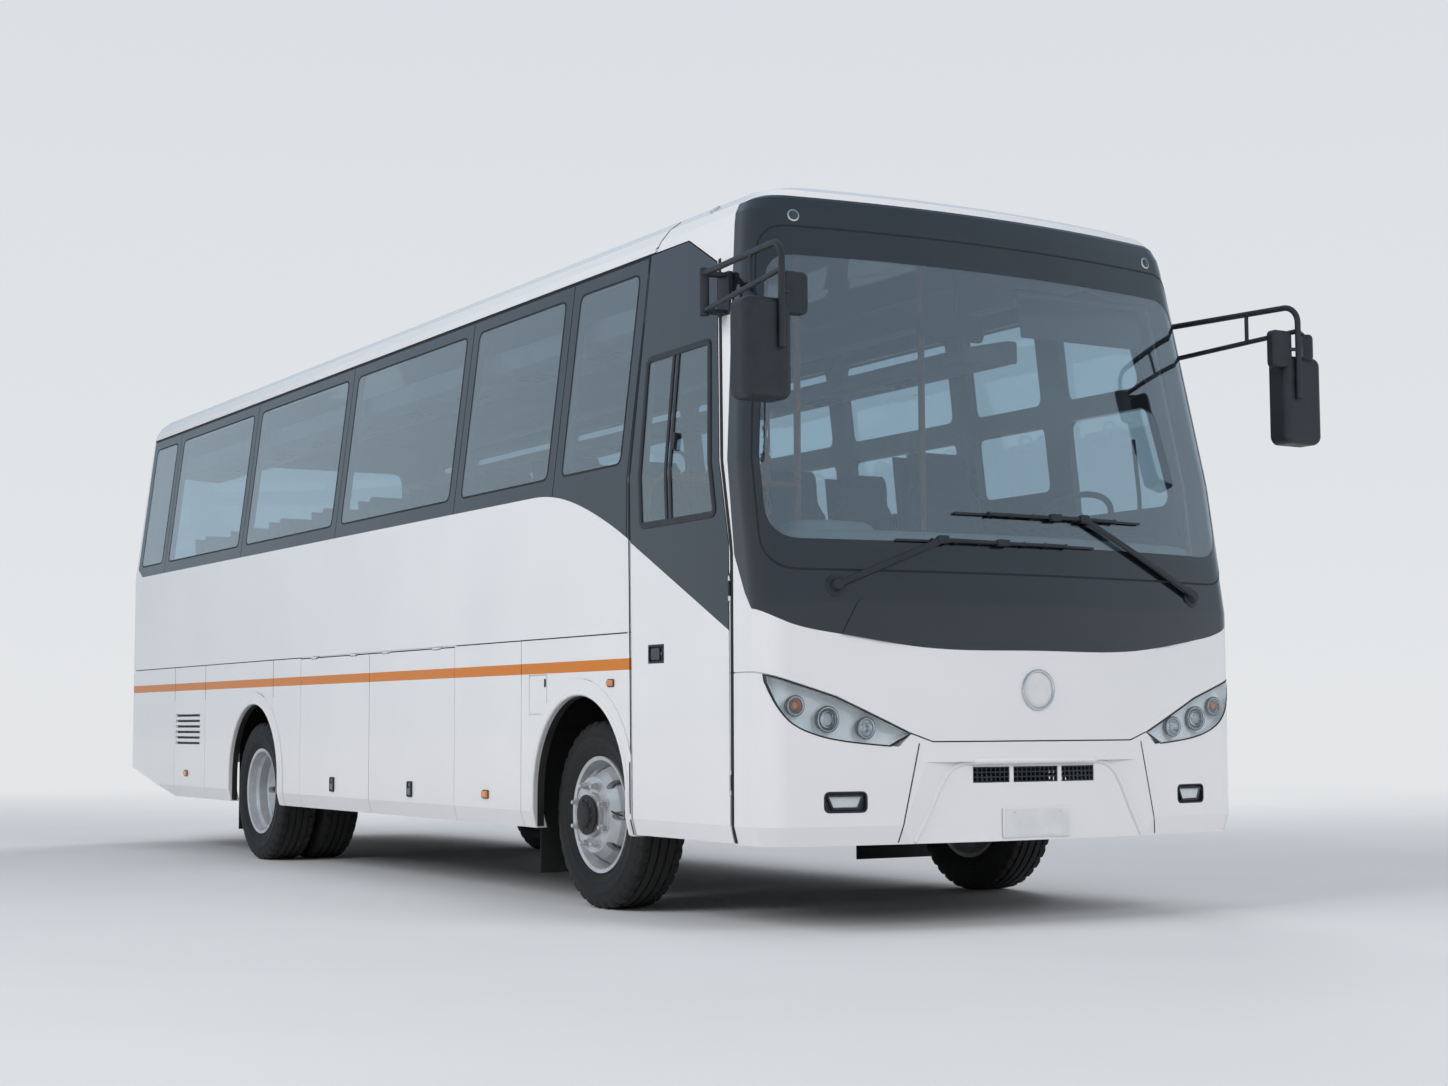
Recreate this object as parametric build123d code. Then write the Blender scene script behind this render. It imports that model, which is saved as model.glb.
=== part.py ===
"""Coach bus: a rear-engined midi coach with one passenger door ahead of the front axle."""
from build123d import *
import math
import os

# Driving sizes in millimetres: X forward from the front axle, Y to the left, Z up from the road
wheelbase = 4375
half_width = 1235
gutter_half_width = 1115
nose_x = 1705
tail_x = -7165
skirt_z = 345
tuck_z = 420
lean_z = 1300
belt_z = 1880
gutter_z = 2880
roof_rise = 205
skirt_tuck = 20
windscreen_rake = 0.171
tail_rake = 35
nose_radius = 5000
tail_radius = 12000
nose_corner = 120
tail_corner = 140
wall = 45
glass = 6
fit_gap = 0.3
door_gap = 6
tail_split_x = -6950

# Window band, crease and panel seams along the side
seam_xs = [445, -275, -1395, -3045, -4685, -6315]
pane_border = 75
pane_round = 45
groove_width = 6
groove_depth = 5
crease_z = 1215
lower_seam_xs = [-596, -4040, -5345, -6005]
tail_ramp_x = -6015
tail_ramp_rise = 215

# The left windows are split by a rail, and the driver's reaches lower
pane_zs = (belt_z + pane_border, gutter_z - pane_border)
rail_zs = (2280, 2380)
driver_pane_zs = (1815, 2780)
driver_pane_x = 541
driver_pane_border = 40

# Air louvres of the engine bay, the fuel flap and the roof's drip rail
louvre_box = (-5979, -5454, 687, 907)
louvre_count = 6
louvre_height = 20
louvre_depth = 12
flap_box = (-513, -323, 865, 1052)
drip_rail = 8
drip_rail_height = 14

# Wheels and arches
tyre_radius = 419
tyre_half_width = 124
bead_radius = 255
flange_radius = 260.5
flange_half_width = 105
disc_offset = 136
disc_thick = 14
front_wheel_y = 1027
rear_wheel_y = 1080
stud_circle = 137.5
stud_count = 8
arch_radius = 450
arch_centre_z = 500
arch_lip = 6
arch_lip_width = 75
kingpin_y = 870
spindle_radius = 34

# Passenger door, hinged at its front edge
door_rear_bottom_x = 497
door_rear_top_x = 450
door_front_bottom_x = 1310
door_front_knee = (1302, 1545)
door_front_top = (1049, 2739)
door_top_front_x = 785
roof_seam_x = 501
roof_seam_lean = 112
door_axis_x = 1309
door_axis_y = 1241
door_hinge_zs = [560, 1330]
door_glass = [(531, 2393), (1050, 2400), (1193, 1667), (576, 1665)]
handle_box = (635, 773, 1076, 1156)
handle_depth = 14

# Luggage lockers and their doors, hinged along their top edges
locker_xs = [-3565, -2495, -1360]
locker_door_top_z = 1212
locker_floor_z = 370
locker_inner_y = 500
locker_sheet = 12

# Tail
rear_bumper_z = 740
rear_glass = [(-930, 1960), (930, 1960), (870, 2770), (-870, 2770)]
lid_half_width = 780
lid_top_z = 1330
lid_hinge_y = 300
tail_lamp_box = (930, 1085, 820, 1480)
hatch_box = (-1500, -300, 500)
hatch_rise = 25

# Hinges
pin_radius = 3
barrel_radius = 6
barrel_length = 60
hinge_tab = 20
hinge_notch = 8.5

# Floor, frame and entrance
floor_z = 1050
floor_thick = 50
rail_y = 430
rail_width = 70
rail_bottom_z = 620
rail_top_z = 820
rail_front_x = 1450
rail_rear_x = -6950
tow_bore_radius = 20
tow_eye = (-6900, 470)
tow_eye_radius = 40
tow_eye_half_width = 12
bearer_width = 60
member_width = 50
well_rear_x = 560
well_front_x = 1285
well_inner_y = -400
tread_zs = [380, 612, 845]
tread_ys = [-1160, -905, -650]
low_clearance = 8
tread_thick = 20

# Seats
seat_pitch = 760
seat_rows = 8
first_seat_x = -210
seat_width = 440
seat_height = 430
seat_back_height = 1120
aisle_half = 190
pole_x = 440
pole_y = 350
pole_radius = 16
pole_gap = 1
hoop_y = -1120
hoop_z = 1900

# Front face outlines, as (y, z) from the middle outward
mask_low = [(0, 1116), (574, 1125), (925, 1174), (1139, 1219), (1300, 1335)]
mask_side = [(1470, 1270), (1421, 1335), (1342, 1491), (1178, 2720)]
mask_top_z = 2984
mask_corner = 120
glass_bottom_z = 1428
glass_top_z = 2850
glass_corner = 130
glass_side_border = 26
bumper_line = [(515, 745), (616, 779), (938, 925), (1216, 1013), (1400, 1080)]
lamp_low = [(668, 729), (869, 748), (1007, 774), (1114, 820), (1177, 891), (1213, 985)]
fog_box = (811, 988, 476, 553)
slot_ys = [(-315, -135), (-115, 115), (135, 315)]
slot_zs = (581, 645)
grille_pitch = 22
grille_bar = 5
grille_rows = 2
recess_top = (406, 544, 667)
recess_low = (592, 697, 300)
recess_depth = 22
hood_outline = [(-930, 1140), (930, 1140), (835, 1318), (-835, 1318)]
hood_corner = 60
hood_rise = 6

# Mirrors on tubular arms, in front of the pillars
mirror_root = (1150, 2580)
mirror_post = (1881, 1347)
mirror_size = (108, 215, 390)
mirror_centre = (1815, 1395, 2236)
mirror_round = 40
arm_radius = 13
arm_top_z = 2649
arm_spread = 155
arm_bend = 75
arm_reach = 105
rung_share = 0.62
wide_mirror = (42, 115, 165)
wide_mirror_centre = (1846, 1272, 2455)
kerb_mirror = (130, 48, 126)
kerb_mirror_centre = (1822, 1446, 2470)
kerb_mirror_turn = -31

origin_x = (tail_x + mirror_post[0] + arm_radius) / 2


def save(name, shape):
    """Write one node, moved so that the origin lies under the middle of the whole coach."""
    if isinstance(shape, (list, ShapeList)):
        shape = Compound(children=[piece for piece in shape])
    export_step(Pos(-origin_x, 0, 0) * shape, f"parts/{name}.step")
    print(name)


def box(x0, x1, y0, y1, z0, z1):
    """A box between two corners."""
    middle = Pos((x0 + x1) / 2, (y0 + y1) / 2, (z0 + z1) / 2)
    return middle * Box(abs(x1 - x0), abs(y1 - y0), abs(z1 - z0))


def rod(start, end, radius):
    """A round bar from one point to another."""
    line = Vector(*end) - Vector(*start)
    return Solid.make_cylinder(radius, line.length, Plane(origin=start, z_dir=line))


def side_prism(outline, y_from, y_to):
    """A side-view outline in (x, z), carried across the coach."""
    plane = Plane(origin=(0, y_from, 0), x_dir=(1, 0, 0), z_dir=(0, -1, 0))
    return extrude(plane * outline, y_to - y_from, dir=(0, 1, 0))


def front_prism(outline, x_from, x_to):
    """A front-view outline in (y, z), carried along the coach."""
    plane = Plane(origin=(x_from, 0, 0), x_dir=(0, 1, 0), z_dir=(1, 0, 0))
    return extrude(plane * outline, x_to - x_from, dir=(1, 0, 0))


def polygon(points, radius=0):
    """A closed outline, with every corner rounded if a radius is given."""
    face = make_face(Polyline(*points, close=True))
    return fillet(face.vertices(), radius) if radius else face


# The body skin
def plan_corner(radius, end_radius, half, end, facing):
    """Side end, tangent point and middle of one plan corner, facing 1 at the nose and -1 at the tail."""
    reach = end_radius - radius
    end_centre = end - facing * end_radius
    centre = Vector(end_centre + facing * math.sqrt(reach**2 - (half - radius) ** 2), half - radius)
    outward = (centre - Vector(end_centre, 0)).normalized()
    middle = (outward + Vector(0, 1)).normalized()
    return centre.X, centre + outward * radius, centre + middle * radius


def plan_wire(z, half, nose, tail, swell=0):
    """One level of the body seen from above: nose and tail arcs, corner arcs and straight sides."""
    front_x, front_end, front_mid = plan_corner(nose_corner + swell, nose_radius, half, nose, 1)
    rear_x, rear_end, rear_mid = plan_corner(tail_corner + swell, tail_radius, half, tail, -1)

    def at(point, side):
        return (point.X, side * point.Y, z)

    return Wire([
        ThreePointArc(at(front_end, -1), (nose, 0, z), at(front_end, 1)),
        ThreePointArc(at(front_end, 1), at(front_mid, 1), (front_x, half, z)),
        Line((front_x, half, z), (rear_x, half, z)),
        ThreePointArc((rear_x, half, z), at(rear_mid, 1), at(rear_end, 1)),
        ThreePointArc(at(rear_end, 1), (tail, 0, z), at(rear_end, -1)),
        ThreePointArc(at(rear_end, -1), at(rear_mid, -1), (rear_x, -half, z)),
        Line((rear_x, -half, z), (front_x, -half, z)),
        ThreePointArc((front_x, -half, z), at(front_mid, -1), at(front_end, -1)),
    ])


def nose_at(z):
    """How far forward the front face reaches on the centre line."""
    return nose_x - windscreen_rake * max(0, z - lean_z)


def half_at(z):
    """Half the width of the body at a height."""
    return half_width - (half_width - gutter_half_width) * max(0, z - belt_z) / (gutter_z - belt_z)


levels = [  # z, half width, nose, tail
    (skirt_z, half_width - skirt_tuck, nose_x - 15, tail_x + 30),
    (tuck_z, half_width, nose_x, tail_x),
    (lean_z, half_width, nose_x, tail_x),
    (belt_z, half_width, nose_at(belt_z), tail_x),
    (gutter_z, gutter_half_width, nose_at(gutter_z), tail_x + tail_rake),
]
crown = [  # share of the rise, inset at the sides, inset at the ends
    (0, 0, 0),
    (0.22, 9, 8),
    (0.45, 34, 22),
    (0.66, 85, 55),
    (0.83, 180, 140),
    (0.94, 360, 380),
    (1, 640, 900),
]


def block(inset):
    """The whole body as one solid, drawn in on every side by the inset."""
    sides = [plan_wire(z, half - inset, nose - inset, tail + inset, -inset) for z, half, nose, tail in levels]
    z, half, nose, tail = levels[-1]
    rise = roof_rise - inset
    tops = [
        plan_wire(z + share * rise, half - inset - side, nose - inset - end, tail + inset + end, 0.3 * side - inset)
        for share, side, end in crown
    ]
    return Solid.make_loft(sides + tops[1:], ruled=True)


outer = block(0)
inner = block(wall)
skin = outer - inner
far = 1600

shallow = outer - block(groove_depth)


def front_x(y, z):
    """The front face at a point, behind the corner rounding."""
    return nose_at(z) - nose_radius + math.sqrt(nose_radius**2 - y**2)


# Front face: black mask round the windscreen, white moulding and bumper, lamps
front_outline = polygon([
    (door_front_bottom_x, 0), (door_front_bottom_x, skirt_z), door_front_knee, door_front_top,
    (door_top_front_x, gutter_z), (roof_seam_x, gutter_z), (roof_seam_x + roof_seam_lean, gutter_z + roof_rise),
    (roof_seam_x + roof_seam_lean, 3400), (2200, 3400), (2200, 0),
])
front_zone = side_prism(front_outline, -far, far)


def mirrored(points):
    """An outline from the middle outward, completed on the other side."""
    return [(-y, z) for y, z in reversed(points)] + [(y, z) for y, z in points if y]


mask_face = make_face(
    Spline(*mirrored(mask_low)) + Polyline(
        mask_low[-1], (1300, 2600), (gutter_half_width - 20, mask_top_z), (1 - gutter_half_width + 19, mask_top_z),
        (-1300, 2600), (-mask_low[-1][0], mask_low[-1][1]))
)
mask_face = fillet(mask_face.vertices().sort_by(Axis.Y)[-2:], mask_corner)
mask_side_face = polygon(mask_side + [(1178 - 60, 3200), (2200, 3200), (2200, 1100), (1560, 1100)])
mask_zone = front_prism(mask_face, 900, 2100) & side_prism(mask_side_face, -far, far)


def windscreen_zone(grow):
    """The windscreen's outline as seen from the front, grown or shrunk a little."""
    low = half_at(glass_bottom_z) - glass_side_border + grow
    high = half_at(glass_top_z) - glass_side_border + grow
    points = [(-low, glass_bottom_z - grow), (low, glass_bottom_z - grow), (low, belt_z),
              (high, glass_top_z + grow), (-high, glass_top_z + grow), (-low, belt_z)]
    return front_prism(polygon(points, glass_corner), 1000, 2100)


front = skin & front_zone
front_mask = (front & mask_zone) - windscreen_zone(0)
hood_face = polygon(hood_outline)
hood_face = fillet(hood_face.vertices().sort_by(Axis.Y)[-2:], hood_corner)
hood_panel = (block(-hood_rise) - block(hood_rise)) & front_zone & mask_zone & front_prism(hood_face, 1400, 2100)
front_mask = front_mask + hood_panel
windscreen = ((outer - block(glass + 2)) & front_zone) & windscreen_zone(-fit_gap)
white_front = front - mask_zone

below_line = polygon(mirrored([(y, z) for y, z in bumper_line]) + [(1400, 0), (-1400, 0)])
lamp_face = make_face(
    Polyline(*bumper_line[1:4], lamp_low[-1]) + Spline(*reversed(lamp_low)) + Line(lamp_low[0], bumper_line[1])
)
lamp_zone = front_prism(lamp_face, 1300, 2100)
lamp_zones = lamp_zone + mirror(lamp_zone, Plane.XZ)
fog_zone = front_prism(polygon([(fog_box[0], fog_box[2]), (fog_box[1], fog_box[2]),
                                (fog_box[1], fog_box[3]), (fog_box[0], fog_box[3])], 22), 1300, 2100)
fog_zones = fog_zone + mirror(fog_zone, Plane.XZ)
slots = [box(1600, 2000, y0, y1, *slot_zs) for y0, y1 in slot_ys]



def recess_level(inner_y, outer_y, z):
    """One level of the bumper's middle recess: a floor behind the nose's curve, and flanks that run out."""
    floor_x, lip_x, clear_x = front_x(inner_y, z) - recess_depth, front_x(outer_y, z), nose_x + 200
    return Wire([
        Line((lip_x, -outer_y, z), (floor_x, -inner_y, z)),
        ThreePointArc((floor_x, -inner_y, z), (nose_at(z) - recess_depth, 0, z), (floor_x, inner_y, z)),
        Line((floor_x, inner_y, z), (lip_x, outer_y, z)),
        Line((lip_x, outer_y, z), (clear_x, outer_y, z)),
        Line((clear_x, outer_y, z), (clear_x, -outer_y, z)),
        Line((clear_x, -outer_y, z), (lip_x, -outer_y, z)),
    ])


recess = Solid.make_loft([recess_level(*recess_low), recess_level(*recess_top)], ruled=True)
bumper_zone = front_prism(below_line, 1000, 2100)
seam_zone = front_prism(offset(below_line, groove_width), 1000, 2100)
front_bumper = (white_front & bumper_zone) - lamp_zones - fog_zones - slots - recess
front_moulding = white_front - bumper_zone - lamp_zones - (shallow & seam_zone)
front_lamps = (front & lamp_zones) + (front & fog_zones)

# Grille: a lattice of bars in each slot, set back from the recess floor
grille_depths = (recess_depth + 4, wall - 4)
lattice = []
for y0, y1 in slot_ys:
    bars = [box(1500, 2000, y0, y0 + grille_bar, *slot_zs), box(1500, 2000, y1 - grille_bar, y1, *slot_zs)]
    bar_count = round((y1 - y0) / grille_pitch)
    for place in range(1, bar_count):
        y = y0 + (y1 - y0) * place / bar_count
        bars.append(box(1500, 2000, y - grille_bar / 2, y + grille_bar / 2, *slot_zs))
    for row in range(grille_rows + 2):
        z = slot_zs[0] + grille_bar / 2 + (slot_zs[1] - slot_zs[0] - grille_bar) * row / (grille_rows + 1)
        bars.append(box(1500, 2000, y0, y1, z - grille_bar / 2, z + grille_bar / 2))
    lattice.append(bars[0] + bars[1:])
grille = [(block(grille_depths[0]) - block(grille_depths[1])) & bars for bars in lattice]

# Sides: white lower walls, dark window bands, arches, grooves and locker doors
swoop = [(-470, belt_z), (156, 1750), (476, 1610), (650, 1516), (1330, 1178)]
band_outline = make_face(
    Polyline((-7400, belt_z), swoop[0]) + Spline(*swoop, tangents=[(1, 0), (1, -0.52)])
    + Polyline(swoop[-1], (1600, 1178), (1600, gutter_z), (-7400, gutter_z), (-7400, belt_z))
)
band_zone = side_prism(band_outline, -far, far)


def arch_zone(x, radius):
    """A wheel arch opening: a half round over straight legs."""
    legs = box(x - radius, x + radius, -far, far, 0, arch_centre_z)
    return legs + Pos(x, 0, arch_centre_z) * Rot(90, 0, 0) * Cylinder(radius, 2 * far)


arches = arch_zone(0, arch_radius) + arch_zone(-wheelbase, arch_radius)
arch_rims = arch_zone(0, arch_radius + arch_lip_width) + arch_zone(-wheelbase, arch_radius + arch_lip_width)
lips = (block(-arch_lip) - inner) & arch_rims & box(-7000, 600, -far, far, skirt_z, 1100)
tail_ramp = side_prism(polygon([
    (tail_ramp_x, skirt_z), (tail_ramp_x, 100), (tail_x - 200, 100),
    (tail_x - 200, skirt_z + tail_ramp_rise * (tail_ramp_x - tail_x + 200) / (tail_ramp_x - tail_x)),
]), -far, far)
wall_zone = box(tail_split_x, 2000, -far, far, 0, gutter_z)
half_zones = {"right": box(-8000, 2000, -far, 0, 0, 4000), "left": box(-8000, 2000, 0, far, 0, 4000)}
door_outline = polygon([
    (door_rear_bottom_x, skirt_z), (door_front_bottom_x, skirt_z), door_front_knee, door_front_top,
    (door_top_front_x, gutter_z), (door_rear_top_x, gutter_z),
])
door_zone = side_prism(door_outline, -far, 0)
locker_zone = box(locker_xs[0], locker_xs[-1], -far, far, 0, locker_door_top_z)
groove_lines = [box(x - groove_width / 2, x + groove_width / 2, -far, far, 0, crease_z) for x in lower_seam_xs]
groove_lines += [box(tail_split_x, 600, -far, far, crease_z - groove_width / 2, crease_z + groove_width / 2)]
seam_lines = [box(x - groove_width / 2, x + groove_width / 2, -far, far, 1500, gutter_z) for x in seam_xs]

pane_spans = list(zip([tail_split_x + 5] + seam_xs[::-1][:-1], seam_xs[::-1]))
right_panes = [(x0 + pane_border, x1 - pane_border, *pane_zs) for x0, x1 in pane_spans]
left_panes = []
for x0, x1, z0, z1 in right_panes + [(driver_pane_x, nose_x, *driver_pane_zs)]:
    left_panes += [(x0, x1, z0, rail_zs[0]), (x0, x1, rail_zs[1], z1)]


def pane_face(outline, shrink):
    """A window opening in side view, cut back in front to follow the windscreen pillar."""
    x0, x1, z0, z1 = outline
    face = polygon([(x0, z0), (x1, z0), (x1, z1), (x0, z1)])
    face = face & offset(door_outline, -driver_pane_border) if x1 > door_rear_bottom_x else face
    return offset(fillet(face.vertices(), pane_round), -shrink) if shrink else fillet(face.vertices(), pane_round)


walls = (skin & wall_zone) - front_zone
walls_low = walls - band_zone - arches - locker_zone - tail_ramp
walls_low = walls_low - (shallow & (groove_lines[0] + groove_lines[1:]))
walls_low = walls_low + (lips - arches)
louvre_zs = [louvre_box[2] + (louvre_box[3] - louvre_box[2]) * (row + 0.5) / louvre_count for row in range(louvre_count)]
louvres = [box(louvre_box[0], louvre_box[1], -far, far, z - louvre_height / 2, z + louvre_height / 2) for z in louvre_zs]
walls_low = walls_low - ((outer - block(louvre_depth)) & (louvres[0] + louvres[1:]))
band = (walls & band_zone) - (shallow & (seam_lines[0] + seam_lines[1:]))
pane_skin = outer - block(glass)
sides = {}
panes = []
for side, outlines, y0, y1 in (("right", right_panes, -far, 0), ("left", left_panes, 0, far)):
    openings = [side_prism(pane_face(outline, 0), y0, y1) for outline in outlines]
    lower = walls_low & half_zones[side]
    upper = (band & half_zones[side]) - openings
    if side == "right":
        x0, x1, z0, z1 = flap_box
        flap_groove = box(x0, x1, -far, 0, z0, z1) - box(x0 + groove_width, x1 - groove_width, -far, 0,
                                                          z0 + groove_width, z1 - groove_width)
        lower = lower - door_zone - (shallow & flap_groove)
        upper = upper - door_zone
    sides[side + "_side"] = lower
    sides[side + "_window_band"] = upper
    panes += [pane_skin & side_prism(pane_face(outline, fit_gap), y0, y1) for outline in outlines]


def hinge(start, end, to_leaf, to_body):
    """A barrel fixed to a door, a pin fixed to the body and the notch that both need, on one axis."""
    a, b = Vector(*start), Vector(*end)
    along = (b - a).normalized()
    barrel = rod(a, b, barrel_radius) - rod(a, b, pin_radius + fit_gap)
    pin = rod(a - along * hinge_tab, b + along * hinge_tab, pin_radius)
    notch = rod(a - along * (hinge_tab + 2), b + along * (hinge_tab + 2), hinge_notch)
    for centre, way, length, kind in (
        ((a + b) * 0.5, to_leaf, (b - a).length, "leaf"),
        (a - along * hinge_tab * 0.5, to_body, hinge_tab - 2, "tab"),
        (b + along * hinge_tab * 0.5, to_body, hinge_tab - 2, "tab"),
    ):
        reach = Vector(*way)
        start_gap = pin_radius + 1 if kind == "leaf" else 0
        first = centre + reach.normalized() * start_gap
        plane = Plane(origin=first, x_dir=along, z_dir=reach.normalized())
        piece = plane * Pos(0, 0, (reach.length - start_gap) / 2) * Box(length, 4, reach.length - start_gap)
        if kind == "leaf":
            barrel = barrel + piece
        else:
            pin = pin + piece
    return barrel, pin, notch


# Passenger door
passenger_door = skin & side_prism(offset(door_outline, -door_gap), -far, 0)
door_window = polygon(door_glass, 28)
handle_cup = (outer - block(handle_depth)) & box(*handle_box[:2], -far, 0, *handle_box[2:])
passenger_door = passenger_door - side_prism(door_window, -far, 0) - handle_cup
passenger_door_pane = pane_skin & side_prism(offset(door_window, -fit_gap), -far, 0)
for z in door_hinge_zs:
    axis = (door_axis_x, -door_axis_y)
    barrel, pin, notch = hinge((*axis, z), (*axis, z + barrel_length), (-34, 14, 0), (18, 16, 0))
    passenger_door = passenger_door - notch + barrel
    if z > bumper_line[-1][1]:
        front_moulding = front_moulding - notch + pin
    else:
        front_bumper = front_bumper - notch + pin

# Locker doors and the lockers behind them
locker_doors = {}
for side, sign in (("right", -1), ("left", 1)):
    for name, x0, x1 in (("rear", locker_xs[0], locker_xs[1]), ("front", locker_xs[1], locker_xs[2])):
        y = sign * half_width
        leaf = skin & box(x0 + door_gap / 2, x1 - door_gap / 2, 0, sign * far, 0, locker_door_top_z - door_gap)
        axis_z = locker_door_top_z - door_gap / 2
        for x in (x0 + 200, x1 - 200 - barrel_length):
            barrel, pin, notch = hinge((x, y, axis_z), (x + barrel_length, y, axis_z), (0, -sign * 16, -24),
                                       (0, -sign * 16, 20))
            leaf = leaf - notch + barrel
            sides[side + "_side"] = sides[side + "_side"] - notch + pin
        locker_doors[f"{side}_{name}_locker_door"] = leaf

lockers = []
for sign in (-1, 1):
    outer_y = half_width - skirt_tuck - wall - low_clearance
    case = box(locker_xs[0] + 2, locker_xs[-1] - 2, sign * locker_inner_y, sign * outer_y, locker_floor_z, rail_top_z)
    for x0, x1 in zip(locker_xs, locker_xs[1:]):
        case = case - box(x0 + locker_sheet, x1 - locker_sheet, sign * (locker_inner_y + locker_sheet), sign * far,
                          locker_floor_z + locker_sheet, rail_top_z - locker_sheet)
    lockers.append(case)

# Roof and rear
roof_zone = box(tail_split_x, 2000, -far, far, gutter_z, 4000)
roof = (skin & roof_zone) - front_zone
hatch_rear_x, hatch_front_x, hatch_half = hatch_box
roof_top_z = gutter_z + roof_rise
hatch = box(hatch_rear_x, hatch_front_x, -hatch_half, hatch_half, roof_top_z - wall / 2, roof_top_z + hatch_rise)
drip = (block(-drip_rail) - block(wall / 2)) & box(tail_split_x, far, -far, far, gutter_z, gutter_z + drip_rail_height)
roof = roof + fillet(hatch.edges().filter_by(Axis.Z), 120) + (drip - front_zone)
behind = (-8000, -6900)
tail_zone = box(-8000, tail_split_x, -far, far, 0, 4000)
tail = (skin & tail_zone) - tail_ramp
rear_bumper_zone = box(-8000, 0, -far, far, 0, rear_bumper_z)
rear_bumper = tail & rear_bumper_zone
rear_glass_face = polygon(rear_glass, 90)
lid_zone = box(*behind, -lid_half_width, lid_half_width, rear_bumper_z, lid_top_z)
y0, y1, z0, z1 = tail_lamp_box
tail_lamp_zone = front_prism(polygon([(y0, z0), (y1, z0), (y1, z1), (y0, z1)], 40), *behind)
tail_lamp_zones = tail_lamp_zone + mirror(tail_lamp_zone, Plane.XZ)
rear_moulding = tail - rear_bumper_zone - front_prism(rear_glass_face, *behind) - lid_zone - tail_lamp_zones
rear_window = ((outer - block(glass)) & tail_zone) & front_prism(offset(rear_glass_face, -fit_gap), *behind)
tail_lamps = (outer - block(30)) & tail_zone & tail_lamp_zones
lid_leaf = box(*behind, door_gap - lid_half_width, lid_half_width - door_gap, rear_bumper_z + door_gap,
               lid_top_z - door_gap)
engine_lid = skin & tail_zone & lid_leaf
lid_axis_x = tail_x - 1
lid_axis_z = lid_top_z - door_gap / 2
for y in (-lid_hinge_y, lid_hinge_y - barrel_length):
    barrel, pin, notch = hinge((lid_axis_x, y, lid_axis_z), (lid_axis_x, y + barrel_length, lid_axis_z),
                               (16, 0, -24), (16, 0, 20))
    engine_lid = engine_lid - notch + barrel
    rear_moulding = rear_moulding - notch + pin

# Floor, steps and cabin
cabin = block(wall + fit_gap)
well = box(well_rear_x, well_front_x, -far, well_inner_y, 0, 4000)
floor = (cabin & box(-7400, 2000, -far, far, floor_z - floor_thick, floor_z)) - well
steps = box(well_rear_x, well_front_x, tread_ys[0], tread_ys[1], tread_zs[0] - tread_thick, tread_zs[0])
for z, y0, y1 in zip(tread_zs, tread_ys, tread_ys[1:] + [well_inner_y]):
    steps = steps + box(well_rear_x, well_front_x, y0, y1 + tread_thick, z - tread_thick, z)
for z0, z1, y in zip(tread_zs, tread_zs[1:] + [floor_z - floor_thick], tread_ys[1:] + [well_inner_y]):
    steps = steps + box(well_rear_x, well_front_x, y, y + tread_thick, z0 - tread_thick, z1)
for x0, x1 in ((well_rear_x - tread_thick, well_rear_x), (well_front_x, well_front_x + tread_thick)):
    steps = steps + box(x0, x1, tread_ys[0], -rail_y - 60, tread_zs[0] - tread_thick, floor_z - floor_thick)
    steps = steps + box(x0, x1, -rail_y - 60, well_inner_y + tread_thick, rail_top_z, floor_z - floor_thick)

dash_outline = polygon([(1320, floor_z), (1320, 1330), (1390, 1470), (1450, 1500), (1800, 1440), (1800, floor_z)])
dashboard = cabin & side_prism(dash_outline, -far, far)
column = rod((1360, 640, 1390), (1120, 640, 1690), 32)
hoop = Plane(origin=(1120, 640, 1690), z_dir=(-0.62, 0, 0.78)) * Torus(225, 14)
spoke = Plane(origin=(1120, 640, 1690), x_dir=(0, 1, 0), z_dir=(-0.62, 0, 0.78)) * Box(440, 36, 12)
steering_wheel = column + hoop + spoke + Plane(origin=(1120, 640, 1690), z_dir=(-0.62, 0, 0.78)) * Cylinder(60, 40)
steering_wheel = steering_wheel - dashboard


def seat(width):
    """One seat, back and cushion in one upholstered solid, facing forward, its front edge at x 0."""
    profile = Polyline(
        (0, seat_height - 110), (0, seat_height), (-430, seat_height - 20), (-560, seat_back_height - 40),
        (-590, seat_back_height), (-650, seat_back_height - 10), (-540, seat_height - 110), close=True)
    plane = Plane(origin=(0, -width / 2, 0), x_dir=(1, 0, 0), z_dir=(0, -1, 0))
    return extrude(plane * fillet(make_face(profile).vertices(), 18), width, dir=(0, 1, 0))


passenger_seats = []
seat_frames = []
for row in range(seat_rows):
    x = first_seat_x - row * seat_pitch
    last = row == seat_rows - 1
    for side in (-1, 1):
        for place in (0, 1):
            y = side * (aisle_half + seat_width * (place + 0.5) + 8 * place)
            passenger_seats.append(Pos(x, y, floor_z) * seat(seat_width - 12))
        y0 = side * (aisle_half + 60)
        y1 = side * (aisle_half + 2 * seat_width - 60)
        top = floor_z + seat_height - 110
        frame = box(x - 470, x - 60, y0, y1, top - 40, top)
        for y in (y0, y1):
            frame = frame + box(x - 440, x - 90, y - 15, y + 15, floor_z, top)
        seat_frames.append(frame)

driver_x, driver_y = 760, 640
driver_seat = Pos(driver_x, driver_y, floor_z) * seat(500)
driver_seat = driver_seat + box(driver_x - 420, driver_x - 80, driver_y - 150, driver_y + 150, floor_z,
                                floor_z + seat_height - 100)

ceiling_z = roof_top_z - wall
pole_points = [(pole_x, -pole_y), (pole_x, pole_y), (pole_x - 540, -pole_y / 2)]
handrails = [rod((x, y, floor_z), (x, y, ceiling_z - pole_gap), pole_radius) for x, y in pole_points]
rail_hoop = FilletPolyline((pole_x, hoop_y, floor_z), (pole_x, hoop_y, hoop_z), (pole_x, -pole_y, hoop_z), radius=90)
handrails[0] = handrails[0] + sweep(Plane(origin=rail_hoop @ 0, z_dir=rail_hoop % 0) * Circle(pole_radius - 2), rail_hoop)

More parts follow.
